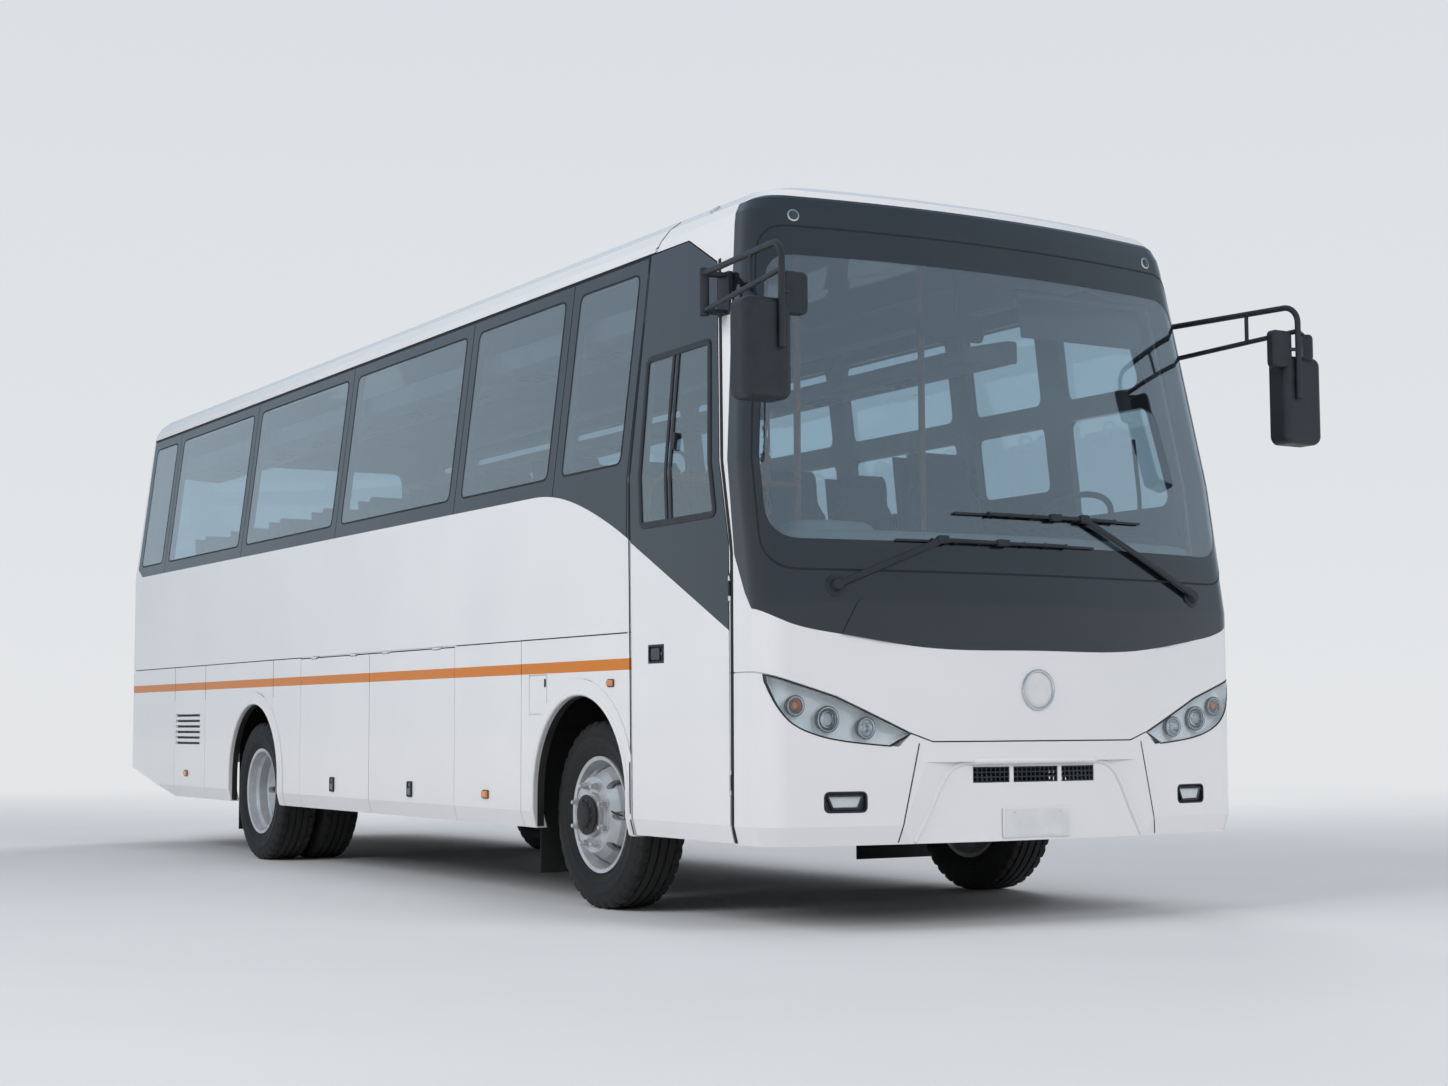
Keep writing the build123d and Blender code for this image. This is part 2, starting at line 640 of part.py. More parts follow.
# Frame, axles, engine and tank
engine_span = (-6750, -5600)
bearer_xs = [1250, 500, -570, *[x for x in reversed(locker_xs)], -3850, -5345, -6005, -6850]
rail_zs_low = (rail_bottom_z, rail_top_z)
chassis_rails = [box(rail_rear_x, rail_front_x, sign * rail_y - rail_width / 2, sign * rail_y + rail_width / 2,
                     *rail_zs_low) for sign in (-1, 1)]
between = rail_y - rail_width / 2
floor_bearers = []
cross_members = []
for x in bearer_xs:
    reach = half_width - wall - 10
    right_reach = reach if x < well_rear_x - 50 or x > well_front_x else -well_inner_y - tread_thick
    floor_bearers.append(box(x - bearer_width / 2, x + bearer_width / 2, -right_reach, reach, rail_top_z,
                             floor_z - floor_thick))
    if not engine_span[0] < x < engine_span[1]:
        cross_members.append(box(x - member_width / 2, x + member_width / 2, -between, between,
                                 rail_top_z - 120, rail_top_z - 40))
cross_members.append(box(rail_front_x - member_width, rail_front_x, -between, between, rail_bottom_z, rail_top_z - 90))
tow_x, tow_z = tow_eye
tow_plate = Pos(tow_x, 0, tow_z) * Rot(90, 0, 0) * Cylinder(tow_eye_radius, 2 * tow_eye_half_width)
tow_plate = tow_plate + box(tow_x - tow_eye_radius, tow_x + tow_eye_radius, -tow_eye_half_width, tow_eye_half_width,
                            tow_z, rail_bottom_z)
tow_plate = tow_plate - Pos(tow_x, 0, tow_z) * Rot(90, 0, 0) * Cylinder(tow_bore_radius, 4 * tow_eye_half_width)
cross_members.append(tow_plate + box(rail_rear_x, rail_rear_x + 2 * member_width, -between, between,
                                     rail_bottom_z, rail_top_z - 130))

engine_block = box(*engine_span, -340, 340, 480, rail_top_z - 10)
for x in (-6600, -5850):
    engine_block = engine_block + box(x, x + 120, -rail_y + rail_width / 2, rail_y - rail_width / 2, 640, 700)
fuel_tank = fillet(box(-1345, -585, -1120, -510, 400, rail_top_z).edges().filter_by(Axis.X), 60)


def leaf_spring(x, y):
    """A bowed leaf pack, with its eyes at the ends and a clamp on the axle."""
    arc = ThreePointArc((x - 680, 0, rail_bottom_z - 45), (x, 0, 470), (x + 680, 0, rail_bottom_z - 45))
    low = ThreePointArc((x - 680, 0, rail_bottom_z - 75), (x, 0, 430), (x + 680, 0, rail_bottom_z - 75))
    ends = Line(arc @ 1, low @ 1) + Line(arc @ 0, low @ 0)
    face = Face(Wire([arc, low, *ends.edges()]))
    spring = Pos(0, y - 40, 0) * extrude(face, 80, dir=(0, 1, 0))
    for end in (x - 660, x + 660):
        spring = spring + box(end - 30, end + 30, y - 30, y + 30, rail_bottom_z - 70, rail_bottom_z)
    return spring


axle_z = tyre_radius
front_axle = box(-50, 50, -620, 620, 345, 430) + box(-45, 45, -kingpin_y + 30, -600, 345, 440)
front_axle = front_axle + box(-45, 45, 600, kingpin_y - 30, 345, 440)
for sign in (-1, 1):
    front_axle = front_axle + leaf_spring(0, sign * rail_y)
    front_axle = front_axle + Pos(0, sign * kingpin_y, 400) * Cylinder(40, 128)
    front_axle = front_axle + Pos(0, sign * kingpin_y, 400) * Cylinder(20, 220)
front_axle = front_axle + box(-50, 50, -rail_y - 40, rail_y + 40, 425, 450)

hub_y = rear_wheel_y - disc_offset
rear_axle = Pos(-wheelbase, 0, axle_z) * Rot(90, 0, 0) * Cylinder(68, 2 * (hub_y - 190))
rear_axle = rear_axle + Pos(-wheelbase, 0, axle_z) * Rot(90, 0, 0) * Cylinder(spindle_radius, 2 * (hub_y + 60))
rear_axle = rear_axle + Pos(-wheelbase, 0, axle_z) * Sphere(190)
rear_axle = rear_axle + (rod((-wheelbase - 100, 0, axle_z), (-5620, 0, 560), 42) - engine_block)
for sign in (-1, 1):
    rear_axle = rear_axle + leaf_spring(-wheelbase, sign * rail_y)
    rear_axle = rear_axle + box(-wheelbase - 60, -wheelbase + 60, sign * rail_y - 40, sign * rail_y + 40, 415, 460)


def tyre():
    """A tyre on the Y axis, outboard side towards +Y."""
    half = tyre_half_width
    bead = flange_half_width - 17
    section = make_face(
        Line((bead_radius, -bead), (bead_radius, bead))
        + ThreePointArc((bead_radius, bead), (bead_radius + 75, half), (tyre_radius - 22, 0.9 * half))
        + Line((tyre_radius - 22, 0.9 * half), (tyre_radius, 0.78 * half))
        + Line((tyre_radius, 0.78 * half), (tyre_radius, -0.78 * half))
        + Line((tyre_radius, -0.78 * half), (tyre_radius - 22, -0.9 * half))
        + ThreePointArc((tyre_radius - 22, -0.9 * half), (bead_radius + 75, -half), (bead_radius, -bead))
    )
    return revolve(section, Axis.Y)


def rim(nut_base, nut_way):
    """A steel disc wheel on the Y axis, its disc bowed out towards +Y, with hand holes and nuts."""
    edge, thick = flange_half_width, 9
    seat_r, well_r = bead_radius - fit_gap, bead_radius - 24
    outside = [(flange_radius, edge), (flange_radius, edge - 10), (seat_r, edge - 14), (seat_r, edge - 36), (well_r, 44)]
    inside = [(bead_radius - 12, edge - 4), (bead_radius - 22, 58), (well_r - thick, 40)]
    section = outside + [(r, -y) for r, y in reversed(outside)] + [(r, -y) for r, y in inside] + inside[::-1]
    barrel = make_face(Polyline(*section, close=True))
    face_y = disc_offset
    disc = make_face(Polyline(
        (98, face_y), (168, face_y), (198, face_y - 34), (222, 45), (228, 30), (228, 5), (214, 20), (190, 70),
        (162, face_y - disc_thick), (98, face_y - disc_thick), close=True))
    wheel = revolve(barrel, Axis.Y) + revolve(disc, Axis.Y)
    hole = Rot(-90, 0, 0) * extrude(Ellipse(25, 20), 300)
    nut = Rot(-90 * nut_way, 0, 0) * extrude(RegularPolygon(16, 6), 30)
    for turn in range(stud_count):
        angle = 360 * turn / stud_count
        wheel = wheel - Rot(0, angle, 0) * Pos(196, 20, 0) * hole
        wheel = wheel + Rot(0, angle + 180 / stud_count, 0) * Pos(stud_circle, face_y - nut_base, 0) * nut
    return wheel


def hub(inward, outward):
    """A hub and brake drum on the Y axis, bored for the spindle, its flange against the disc."""
    profile = make_face(Polyline(
        (spindle_radius + fit_gap, -inward), (185, -inward), (178, -45), (150, -8), (96, 0), (96, outward),
        (72, outward + 6), (spindle_radius + fit_gap, outward + 6), close=True))
    return revolve(profile, Axis.Y)


flip = Rot(0, 0, 180)
one_tyre = tyre()
front_wheel = rim(2, 1) + Pos(0, disc_offset - disc_thick, 0) * hub(90, 30)
dished_rim = flip * rim(disc_thick - 2, -1)
inner_wheel = rim(20, 1) + Pos(0, disc_offset - disc_thick, 0) * hub(110, 70)
twin_wheels = dished_rim + Pos(0, -2 * disc_offset, 0) * inner_wheel
wheels = {}
for side, sign in (("left", 1), ("right", -1)):
    turn = Rot(0, 0, 0) if sign == 1 else flip
    place = Pos(0, sign * front_wheel_y, axle_z) * turn
    wheels[f"front_{side}_tyre"] = place * one_tyre
    wheels[f"front_{side}_rim"] = place * front_wheel
    place = Pos(-wheelbase, sign * rear_wheel_y, axle_z) * turn
    wheels[f"rear_{side}_tyres"] = [place * one_tyre, place * Pos(0, -2 * disc_offset, 0) * one_tyre]
    wheels[f"rear_{side}_rims"] = place * twin_wheels


# Knuckles: a spindle through the hub, a boss round the kingpin and a steering arm
knuckles = {}
for side, sign in (("left", 1), ("right", -1)):
    spindle = rod((0, sign * (kingpin_y + 50), axle_z), (0, sign * (front_wheel_y + disc_offset + 10), axle_z),
                  spindle_radius)
    yoke = box(-55, 55, sign * (kingpin_y - 45), sign * (kingpin_y + 62), 470, 510)
    yoke = yoke + box(-55, 55, sign * (kingpin_y - 45), sign * (kingpin_y + 62), 290, 330)
    yoke = yoke + box(-55, 55, sign * (kingpin_y + 44), sign * (kingpin_y + 62), 290, 510)
    arm = box(-260, -40, sign * (kingpin_y - 40), sign * (kingpin_y - 10), 295, 325)
    bore = Pos(0, sign * kingpin_y, 400) * Cylinder(20 + fit_gap, 240)
    knuckles[f"{side}_knuckle"] = spindle + yoke + arm - bore

# Wipers, mirrors, mudflaps and gutters
wipers = []
for pivot, elbow, tip_a, tip_b in (
    ((-927, 1365), (-443, 1556), (-653, 1552), (346, 1552)),
    ((941, 1365), (300, 1672), (-368, 1672), (650, 1672)),
):
    lift = 14
    points = [(front_x(y, z) + lift, y, z) for y, z in (pivot, elbow, tip_a, tip_b)]
    middle = [(a + b) / 2 for a, b in zip(points[2], points[3])]
    blade_ends = [(p[0], p[1], p[2]) for p in points[2:]]
    top = max(p[0] for p in blade_ends) + 12
    wiper = rod((points[0][0] - lift - 2, *points[0][1:]), (points[0][0] + 26, *points[0][1:]), 20)
    wiper = wiper + rod((points[0][0] + 16, *points[0][1:]), (top + 22, points[1][1], points[1][2]), 8)
    wiper = wiper + rod((top + 22, *points[1][1:]), (front_x(middle[1], middle[2]) + 26, *middle[1:]), 6)
    blade = box(points[2][0] - 40, front_x(0, points[2][2]) + 30, points[2][1], points[3][1], points[2][2] - 5,
                points[2][2] + 5)
    wipers.append(wiper + (blade - block(-1)) - outer)

def rounded(size, corner, front):
    """A mirror housing: round corners in front view and a domed forward face."""
    head = fillet(Box(*size).edges().filter_by(Axis.X), corner)
    return fillet(head.faces().sort_by(Axis.X)[-1].edges(), front)


# Each arm is a hinge post on the pillar, two tubes joined by a rung, and a post that carries the heads
root_x, root_z = mirror_root
pillar_y = half_at(root_z)
post_x, post_y = mirror_post
hinge_y = pillar_y + arm_reach
high_root = (root_x, hinge_y, root_z + arm_spread / 2)
low_root = (root_x, hinge_y, root_z - arm_spread / 2)
low_end = (post_x, post_y, arm_top_z - arm_spread * 0.72)
arm_path = FilletPolyline(high_root, (post_x, post_y, arm_top_z), (post_x, post_y, mirror_centre[2]), radius=arm_bend)
arm = sweep(Plane(origin=arm_path @ 0, z_dir=arm_path % 0) * Circle(arm_radius), arm_path)
rung_high = Vector(*high_root) * (1 - rung_share) + Vector(post_x, post_y, arm_top_z) * rung_share
rung_low = Vector(*low_root) * (1 - rung_share) + Vector(*low_end) * rung_share
arm = arm + rod(low_root, low_end, arm_radius - 2) + rod(rung_low, rung_high, arm_radius - 4)
hinge_post = rod((root_x, hinge_y, low_root[2] - 20), (root_x, hinge_y, high_root[2] + 20), arm_radius + 7)
foot = box(root_x - 45, root_x + 45, pillar_y - 4, pillar_y + 16, low_root[2] - 12, high_root[2] + 12)
for z in (low_root[2], high_root[2]):
    foot = foot + box(root_x - 25, root_x + 25, pillar_y, hinge_y, z - 8, z + 8)
heads = Pos(*mirror_centre) * rounded(mirror_size, mirror_round, mirror_round - 8)
heads = heads + Pos(*wide_mirror_centre) * rounded(wide_mirror, 24, 14)
heads = heads + rod(wide_mirror_centre, (post_x, post_y, wide_mirror_centre[2]), arm_radius - 5)
mirror_set = (arm + hinge_post + foot + heads) - outer
kerb_x, kerb_y, kerb_z = kerb_mirror_centre
kerb_path = FilletPolyline((post_x, post_y, low_end[2]), (kerb_x, kerb_y, low_end[2] - 8), kerb_mirror_centre, radius=30)
kerb_arm = sweep(Plane(origin=kerb_path @ 0, z_dir=kerb_path % 0) * Circle(arm_radius - 3), kerb_path)
kerb_head = fillet(Box(*kerb_mirror).edges().filter_by(Axis.Y), 30)
kerb_head = Pos(*kerb_mirror_centre) * Rot(0, 0, kerb_mirror_turn) * fillet(kerb_head.faces().sort_by(Axis.Y)[-1].edges(), 16)
mirrors = [mirror_set + kerb_arm + kerb_head, mirror(mirror_set, Plane.XZ)]
mirror_glass = [
    Pos(mirror_centre[0] - mirror_size[0] / 2 - 2, sign * mirror_centre[1], mirror_centre[2])
    * fillet(Box(4, mirror_size[1] - 30, mirror_size[2] - 30).edges().filter_by(Axis.X), 28) for sign in (-1, 1)
]

mudflaps = []
for sign in (-1, 1):
    mudflaps.append(box(-560, -552, sign * 640, sign * 1150, 130, rail_top_z))
    mudflaps.append(box(-wheelbase - 520, -wheelbase - 512, sign * 640, sign * 1150, 165, floor_z - floor_thick))

nodes = {
    "front_moulding": front_moulding, "front_bumper": front_bumper, "front_mask": front_mask,
    "windscreen": windscreen, "front_lamps": front_lamps, "grille": grille, "roof": roof,
    "side_panes": panes, "passenger_door": passenger_door, "passenger_door_pane": passenger_door_pane,
    "lockers": lockers, "rear_moulding": rear_moulding, "rear_bumper": rear_bumper, "rear_window": rear_window,
    "tail_lamps": tail_lamps, "engine_lid": engine_lid, "floor": floor, "entrance_steps": steps,
    "dashboard": dashboard, "steering_wheel": steering_wheel, "passenger_seats": passenger_seats,
    "seat_frames": seat_frames, "driver_seat": driver_seat, "handrails": handrails,
    "chassis_rails": chassis_rails, "floor_bearers": floor_bearers, "cross_members": cross_members,
    "engine_block": engine_block, "fuel_tank": fuel_tank,
    "front_axle": front_axle, "rear_axle": rear_axle, "wipers": wipers, "mirrors": mirrors,
    "mirror_glass": mirror_glass, "mudflaps": mudflaps, **sides, **locker_doors, **wheels, **knuckles,
}
os.makedirs("parts", exist_ok=True)
for name, shape in nodes.items():
    save(name, shape)
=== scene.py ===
# %% [markdown]
# # A coach bus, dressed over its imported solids
# A midi coach is a welded frame with thin painted panels, bonded glass and moulded plastic ends.
# The solids already have every size, so this notebook only adds what paint, rubber, cloth and
# small fittings give the eye. Everything is in metres: X forward, Y to the coach's left, Z up.

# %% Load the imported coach
import math

import bmesh
import bpy
from mathutils import Matrix, Vector
from mathutils.bvhtree import BVHTree


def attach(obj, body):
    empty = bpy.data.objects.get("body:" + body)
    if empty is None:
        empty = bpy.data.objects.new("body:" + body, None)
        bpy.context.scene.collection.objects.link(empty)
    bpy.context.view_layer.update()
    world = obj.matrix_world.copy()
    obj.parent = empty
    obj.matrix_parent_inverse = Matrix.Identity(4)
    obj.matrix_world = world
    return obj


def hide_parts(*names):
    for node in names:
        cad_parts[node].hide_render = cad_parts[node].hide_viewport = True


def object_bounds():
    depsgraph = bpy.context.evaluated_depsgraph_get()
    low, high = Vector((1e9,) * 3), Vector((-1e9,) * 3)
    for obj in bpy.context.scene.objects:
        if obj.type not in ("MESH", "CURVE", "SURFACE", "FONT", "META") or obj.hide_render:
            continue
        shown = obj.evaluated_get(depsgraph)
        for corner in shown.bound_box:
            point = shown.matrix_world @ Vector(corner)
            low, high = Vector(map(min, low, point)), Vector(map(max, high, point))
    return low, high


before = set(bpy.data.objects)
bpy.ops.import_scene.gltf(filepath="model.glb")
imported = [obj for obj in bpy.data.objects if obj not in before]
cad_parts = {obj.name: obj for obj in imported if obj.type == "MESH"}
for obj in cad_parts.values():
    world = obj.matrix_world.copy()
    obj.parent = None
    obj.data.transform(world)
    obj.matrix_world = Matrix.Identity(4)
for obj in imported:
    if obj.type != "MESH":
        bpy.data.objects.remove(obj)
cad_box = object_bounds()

scene = bpy.context.scene
scene.view_settings.view_transform = "Standard"
front_axle_x = 2.6355
print("nodes:", len(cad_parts), "box:", [tuple(round(v, 3) for v in c) for c in cad_box])

# %% [markdown]
# ## The camera
# A photograph fixes where its camera stood. The wheels, the stripe and the window line of the
# coach gave this place, this direction and a 54.7 mm lens on a 36 mm wide sensor. The rotation
# is built from three unit vectors, because a matrix of right, up and backward is a camera.

# %% Camera at the photograph's viewing angle
camera_place = Vector((11.4331, -5.7589, 0.8254))
yaw, pitch, roll = (math.radians(angle) for angle in (149.017, 4.676, -0.215))
ahead = Vector((math.cos(yaw) * math.cos(pitch), math.sin(yaw) * math.cos(pitch),
                math.sin(pitch)))
level_right = ahead.cross(Vector((0, 0, 1))).normalized()
level_up = level_right.cross(ahead)
right = level_right * math.cos(roll) + level_up * math.sin(roll)
up = level_up * math.cos(roll) - level_right * math.sin(roll)

camera_data = bpy.data.cameras.new("photo_camera")
camera_data.lens, camera_data.sensor_width, camera_data.sensor_fit = 54.71, 36, "HORIZONTAL"
camera_data.clip_end = 500
camera = bpy.data.objects.new("photo_camera", camera_data)
turned = Matrix((right, up, -ahead)).transposed().to_4x4()
camera.matrix_world = Matrix.Translation(camera_place) @ turned
scene.collection.objects.link(camera)
scene.camera = camera
print("camera looks along", tuple(round(v, 3) for v in ahead))

# %% [markdown]
# ## Colour and nodes
# Paint makers give colours as sRGB codes, and shaders count in linear light, so one function
# turns a hex code into the numbers that a shader takes. One more adds a node with its settings
# and links, which keeps every material below short enough to read as a recipe.


# %% Helpers for every material
def linear(code):
    """An sRGB hex colour as linear red, green and blue, with full alpha."""
    shares = [int(code[at:at + 2], 16) / 255 for at in (1, 3, 5)]
    return (*(s / 12.92 if s <= 0.04045 else ((s + 0.055) / 1.055) ** 2.4 for s in shares), 1.0)


def feed(node, inputs):
    """Give a node's inputs their values, or link them to other nodes' outputs."""
    for name, value in inputs.items():
        socket = node.inputs[name] if isinstance(name, int) else next(
            each for each in node.inputs if each.name == name and each.enabled)
        if isinstance(value, bpy.types.NodeSocket):
            node.id_data.links.new(value, socket)
        else:
            socket.default_value = value


def add(tree, kind, inputs=None, result=None, **settings):
    """Add a node with its settings and inputs. It gives back one output, by name or the first."""
    node = tree.nodes.new("ShaderNode" + kind)
    for name, value in settings.items():
        setattr(node, name, value)
    feed(node, inputs or {})
    return next(each for each in node.outputs if each.enabled and result in (None, each.name))


def start(name, **sockets):
    """A new material with one Principled shader, whose plain values are set on its own sockets."""
    material = bpy.data.materials.new(name)
    material.use_nodes = True
    shader = material.node_tree.nodes["Principled BSDF"]
    feed(shader, {socket.replace("_", " ").title().replace("Ior", "IOR"): value
                  for socket, value in sockets.items()})
    return material, material.node_tree, shader


print("orange of the handrails in linear light:", [round(v, 3) for v in linear("#B4682F")])

# %% [markdown]
# ## How worn a surface looks
# No real finish is one flat colour. Each one here has three layers: slow patches of a second
# shade, the fine grain that its making left, and a roughness that drifts with the patches. The
# sizes are real ones in millimetres, because a pattern at the wrong scale makes a toy of a coach.


# %% One recipe for plain finishes
def finish(name, shade, second, patch_mm, grain_mm, depth_mm, roughness, drift=0.08, **sockets):
    """A finish of two shades in slow patches, with fine grain and drifting gloss."""
    material, tree, shader = start(name, **sockets)
    place = add(tree, "TexCoord", result="Object")
    patches = add(tree, "TexNoise", {"Vector": place, "Scale": 1000 / patch_mm, "Detail": 4})
    grain = add(tree, "TexNoise", {"Vector": place, "Scale": 1000 / grain_mm, "Detail": 2})
    spread = add(tree, "MapRange", {"Value": patches, "From Min": 0.35, "From Max": 0.65})
    shades = {"Factor": spread, "A": linear(shade), "B": linear(second)}
    glosses = {"Value": spread, "To Min": roughness - drift, "To Max": roughness + drift}
    feed(shader, {"Base Color": add(tree, "Mix", shades, data_type="RGBA"),
                  "Roughness": add(tree, "MapRange", glosses),
                  "Normal": add(tree, "Bump", {"Height": grain, "Distance": depth_mm / 1000})})
    return material


print("plain finishes take patch, grain and depth in millimetres")

# %% [markdown]
# ## Paint, glass and plastic
# A coach body gets a two-pack enamel: a white pigment layer under a clear one. The stripe and the
# dark upper part of the door are masked and sprayed on the same panels, so they belong to the
# paint's own material and follow each panel when it opens. The stripe has no clear coat over it.
# Comparing a surface point's height and length with two numbers is all the masking tape that a
# shader needs.

# %% White enamel with its stripe, its dark part and the felt behind it
cabin_z, cabin_half, cabin_axis_z = 2.02, 1.03, 1.7
stripe_bounds = {"X": (cad_box[0].x, front_axle_x + 0.488), "Y": (1.15, 1.4), "Z": (1.055, 1.105)}
door_dark_fall = 0.5
door_dark_top = 1.842 + door_dark_fall * front_axle_x


def lined(tree, shade, roughness):
    """The colour and roughness of a wall with grey felt on its faces towards the cabin."""
    place = add(tree, "TexCoord", result="Object")
    reach = add(tree, "VectorMath", {0: place, 1: (0, 0, cabin_axis_z)}, operation="SUBTRACT")
    outward = place.node.outputs["Normal"]
    turned = add(tree, "VectorMath", {0: reach, 1: outward}, "Value", operation="DOT_PRODUCT")
    inwards = add(tree, "Math", {0: turned, 1: 0.0}, operation="LESS_THAN")
    height = add(tree, "SeparateXYZ", {"Vector": place}, "Z")
    in_cabin = add(tree, "Math", {0: height, 1: cabin_z, 2: cabin_half}, operation="COMPARE")
    inside = add(tree, "Math", {0: inwards, 1: in_cabin}, operation="MULTIPLY")
    fibre = add(tree, "TexNoise", {"Vector": place, "Scale": 1000 / 3, "Detail": 3})
    felt = add(tree, "Mix", {"Factor": fibre, "A": linear("#5F676E"), "B": linear("#6F777D")},
               data_type="RGBA")
    rough = add(tree, "MapRange", {"Value": inside, "To Min": roughness, "To Max": 0.9})
    return add(tree, "Mix", {"Factor": inside, "A": shade, "B": felt}, data_type="RGBA"), rough


def enamel(name, two_tone=False):
    """White body enamel with the stripe, and with the door's dark upper part if two-tone."""
    material, tree, shader = start(name, specular_ior_level=0.4, coat_roughness=0.04)
    place = add(tree, "TexCoord", result="Object")
    x, y, z = add(tree, "SeparateXYZ", {"Vector": place}).node.outputs
    patches = add(tree, "TexNoise", {"Vector": place, "Scale": 1000 / 900, "Detail": 3})
    shade = add(tree, "Mix", {"Factor": patches, "A": linear("#E6E5E6"), "B": linear("#DAD9DB")},
                data_type="RGBA")
    beside = add(tree, "Math", {0: y}, operation="ABSOLUTE")
    stripe = 1.0
    for value, (low, high) in zip((x, beside, z), stripe_bounds.values()):
        taped = add(tree, "Math", {0: value, 1: (low + high) / 2, 2: (high - low) / 2},
                    operation="COMPARE")
        stripe = add(tree, "Math", {0: taped, 1: stripe}, operation="MULTIPLY")
    shade = add(tree, "Mix", {"Factor": stripe, "A": shade, "B": linear("#CC7400")},
                data_type="RGBA")
    coat = add(tree, "MapRange", {"Value": stripe, "To Min": 0.5, "To Max": 0.0})
    if two_tone:
        line = add(tree, "Math", {0: x, 1: -door_dark_fall, 2: door_dark_top},
                   operation="MULTIPLY_ADD")
        upper = add(tree, "Math", {0: z, 1: line}, operation="GREATER_THAN")
        shade = add(tree, "Mix", {"Factor": upper, "A": shade, "B": linear("#252B33")},
                    data_type="RGBA")
    peel = add(tree, "TexNoise", {"Vector": place, "Scale": 1000 / 9, "Detail": 1})
    bump = add(tree, "Bump", {"Height": peel, "Distance": 0.00006})
    shade, gloss = lined(tree, shade, 0.24)
    feed(shader, {"Base Color": shade, "Roughness": gloss, "Normal": bump, "Coat Weight": coat})
    return material


white_enamel = enamel("white_two_pack_enamel")
door_enamel = enamel("door_two_tone_enamel", two_tone=True)
print("stripe inside", {axis: [round(v, 3) for v in ends] for axis, ends in stripe_bounds.items()})

# %% Plain finishes, each named for what it is
# Sprayed grey enamel: even, with a calm shine.
dark_enamel = finish("dark_grey_enamel", "#2A3038", "#242A32", 700, 9, 0.06, 0.24, 0.03,
                     specular_ior_level=0.35, coat_weight=0.4)
# Enamel printed on glass and baked: nearly black, with a wet shine.
gloss_black = finish("gloss_black_screen_print", "#15181C", "#1A1D22", 500, 12, 0.03, 0.14, 0.03,
                     coat_weight=0.7, coat_roughness=0.05)
# Injection-moulded with a grained tool: dull dark grey.
black_abs = finish("grained_black_abs", "#1E2125", "#282B30", 60, 2.4, 0.25, 0.5)
# Extruded sealing rubber: matt black with a soft edge to its highlights.
seal_rubber = finish("extruded_epdm_rubber", "#121314", "#1C1D1E", 40, 3, 0.1, 0.62)
# Lamp bowls: on the real lamp aluminium vapour under clear lacquer, a mirror. Here they are
# near-white and not metallic, a painted reflection of the bright sky in the bowl.
painted_reflection_bowl = finish("lamp_bowl_painted_sky_reflection", "#FAFBFC", "#F0F3F5", 60, 4, 0.0, 0.25, 0.02,
                      coat_weight=0.6)
# Silver lacquer on pressed steel: light grey with some metal glint.
rim_paint = finish("silver_wheel_lacquer", "#C9CBCD", "#B7B9BC", 90, 3, 0.08, 0.36, 0.05,
                   metallic=0.45)
# Brushed chassis black: dull, with brown road dust in its patches.
chassis_paint = finish("chassis_black_paint", "#1B1B1C", "#37322D", 160, 8, 0.4, 0.62)
# Sand-cast iron: rough, dull and a little brown.
cast_iron = finish("bare_cast_iron", "#4A4846", "#5E564E", 70, 5, 0.6, 0.66, metallic=0.4)
# Hot-dip galvanised sheet: grey metal with pale spangles.
locker_sheet = finish("galvanised_sheet", "#8C8F90", "#A3A6A6", 25, 6, 0.05, 0.45, metallic=0.8)
# Calendered vinyl with flecks: a speckled dull grey.
cabin_floor = finish("flecked_vinyl_floor", "#4B4D4F", "#5E6062", 6, 2, 0.15, 0.58)
# Slush-moulded skin over foam: a soft mid grey without shine.
dash_plastic = finish("soft_grey_dash_moulding", "#A7ACAE", "#9BA0A3", 200, 3, 0.2, 0.6)
# Powder coats, baked: satin, with a slight orange-peel.
rail_coat = finish("orange_powder_coat", "#B4682F", "#A65C28", 60, 3, 0.08, 0.35)
seat_steel = finish("grey_powder_coat", "#6A6D70", "#5E6164", 80, 3, 0.1, 0.42)
# Press-moulded rubber: matt, with dust in its patches.
flap_rubber = finish("moulded_flap_rubber", "#161616", "#242321", 50, 4, 0.3, 0.75)
tyre_rubber = finish("vulcanised_tyre_rubber", "#17181A", "#262523", 45, 2.5, 0.2, 0.74)
# Chrome plate and silvered glass: sharp mirrors.
bright_chrome = finish("chromed_reflector", "#D9DBDD", "#CDD0D3", 60, 20, 0.01, 0.08, 0.03,
                       metallic=1.0)
mirror_silver = finish("mirror_silver", "#E4E7E9", "#DDE0E3", 300, 40, 0.002, 0.03, 0.01,
                       metallic=1.0)
# Stoved white enamel on sheet: a clean satin white.
plate_metal = finish("blank_plate_enamel", "#DEDEDD", "#D2D2D2", 120, 4, 0.04, 0.38)
# Woven pile: dark, with a soft sheen at its edges. Its 2.4 mm grain is drawn coarser than thread.
seat_cloth = finish("woven_seat_moquette", "#343B47", "#414957", 14, 2.4, 0.6, 0.86,
                    sheen_weight=0.4)
print("materials so far:", len(bpy.data.materials))

# %% [markdown]
# ## Glass
# Tinted safety glass is clear glass with metal oxides in the melt. A path tracer bends light at
# both faces of each pane, so the panes are true 6 mm solids. Lamps can't find a way through bent
# glass, and the cabin would stay black, so rays that look for a lamp see a plain tinted film.


# %% Glass and lens plastics
def glazing(name, tint, film, ior=1.52, **sockets):
    """A see-through solid: a tint for sight and a film colour for rays from the lamps."""
    material, tree, shader = start(name, base_color=linear(tint), roughness=0.0, ior=ior,
                                   transmission_weight=1.0, **sockets)
    place = add(tree, "TexCoord", result="Object")
    speck = add(tree, "TexNoise", {"Vector": place, "Scale": 1000 / 400, "Detail": 2})
    feed(shader, {"Normal": add(tree, "Bump", {"Height": speck, "Distance": 0.0004})})
    path = add(tree, "LightPath", result="Is Shadow Ray")
    clear = add(tree, "BsdfTransparent", {"Color": linear(film)})
    shown = add(tree, "MixShader", {0: path, 1: shader.outputs["BSDF"], 2: clear})
    feed(tree.nodes["Material Output"], {"Surface": shown})
    return material


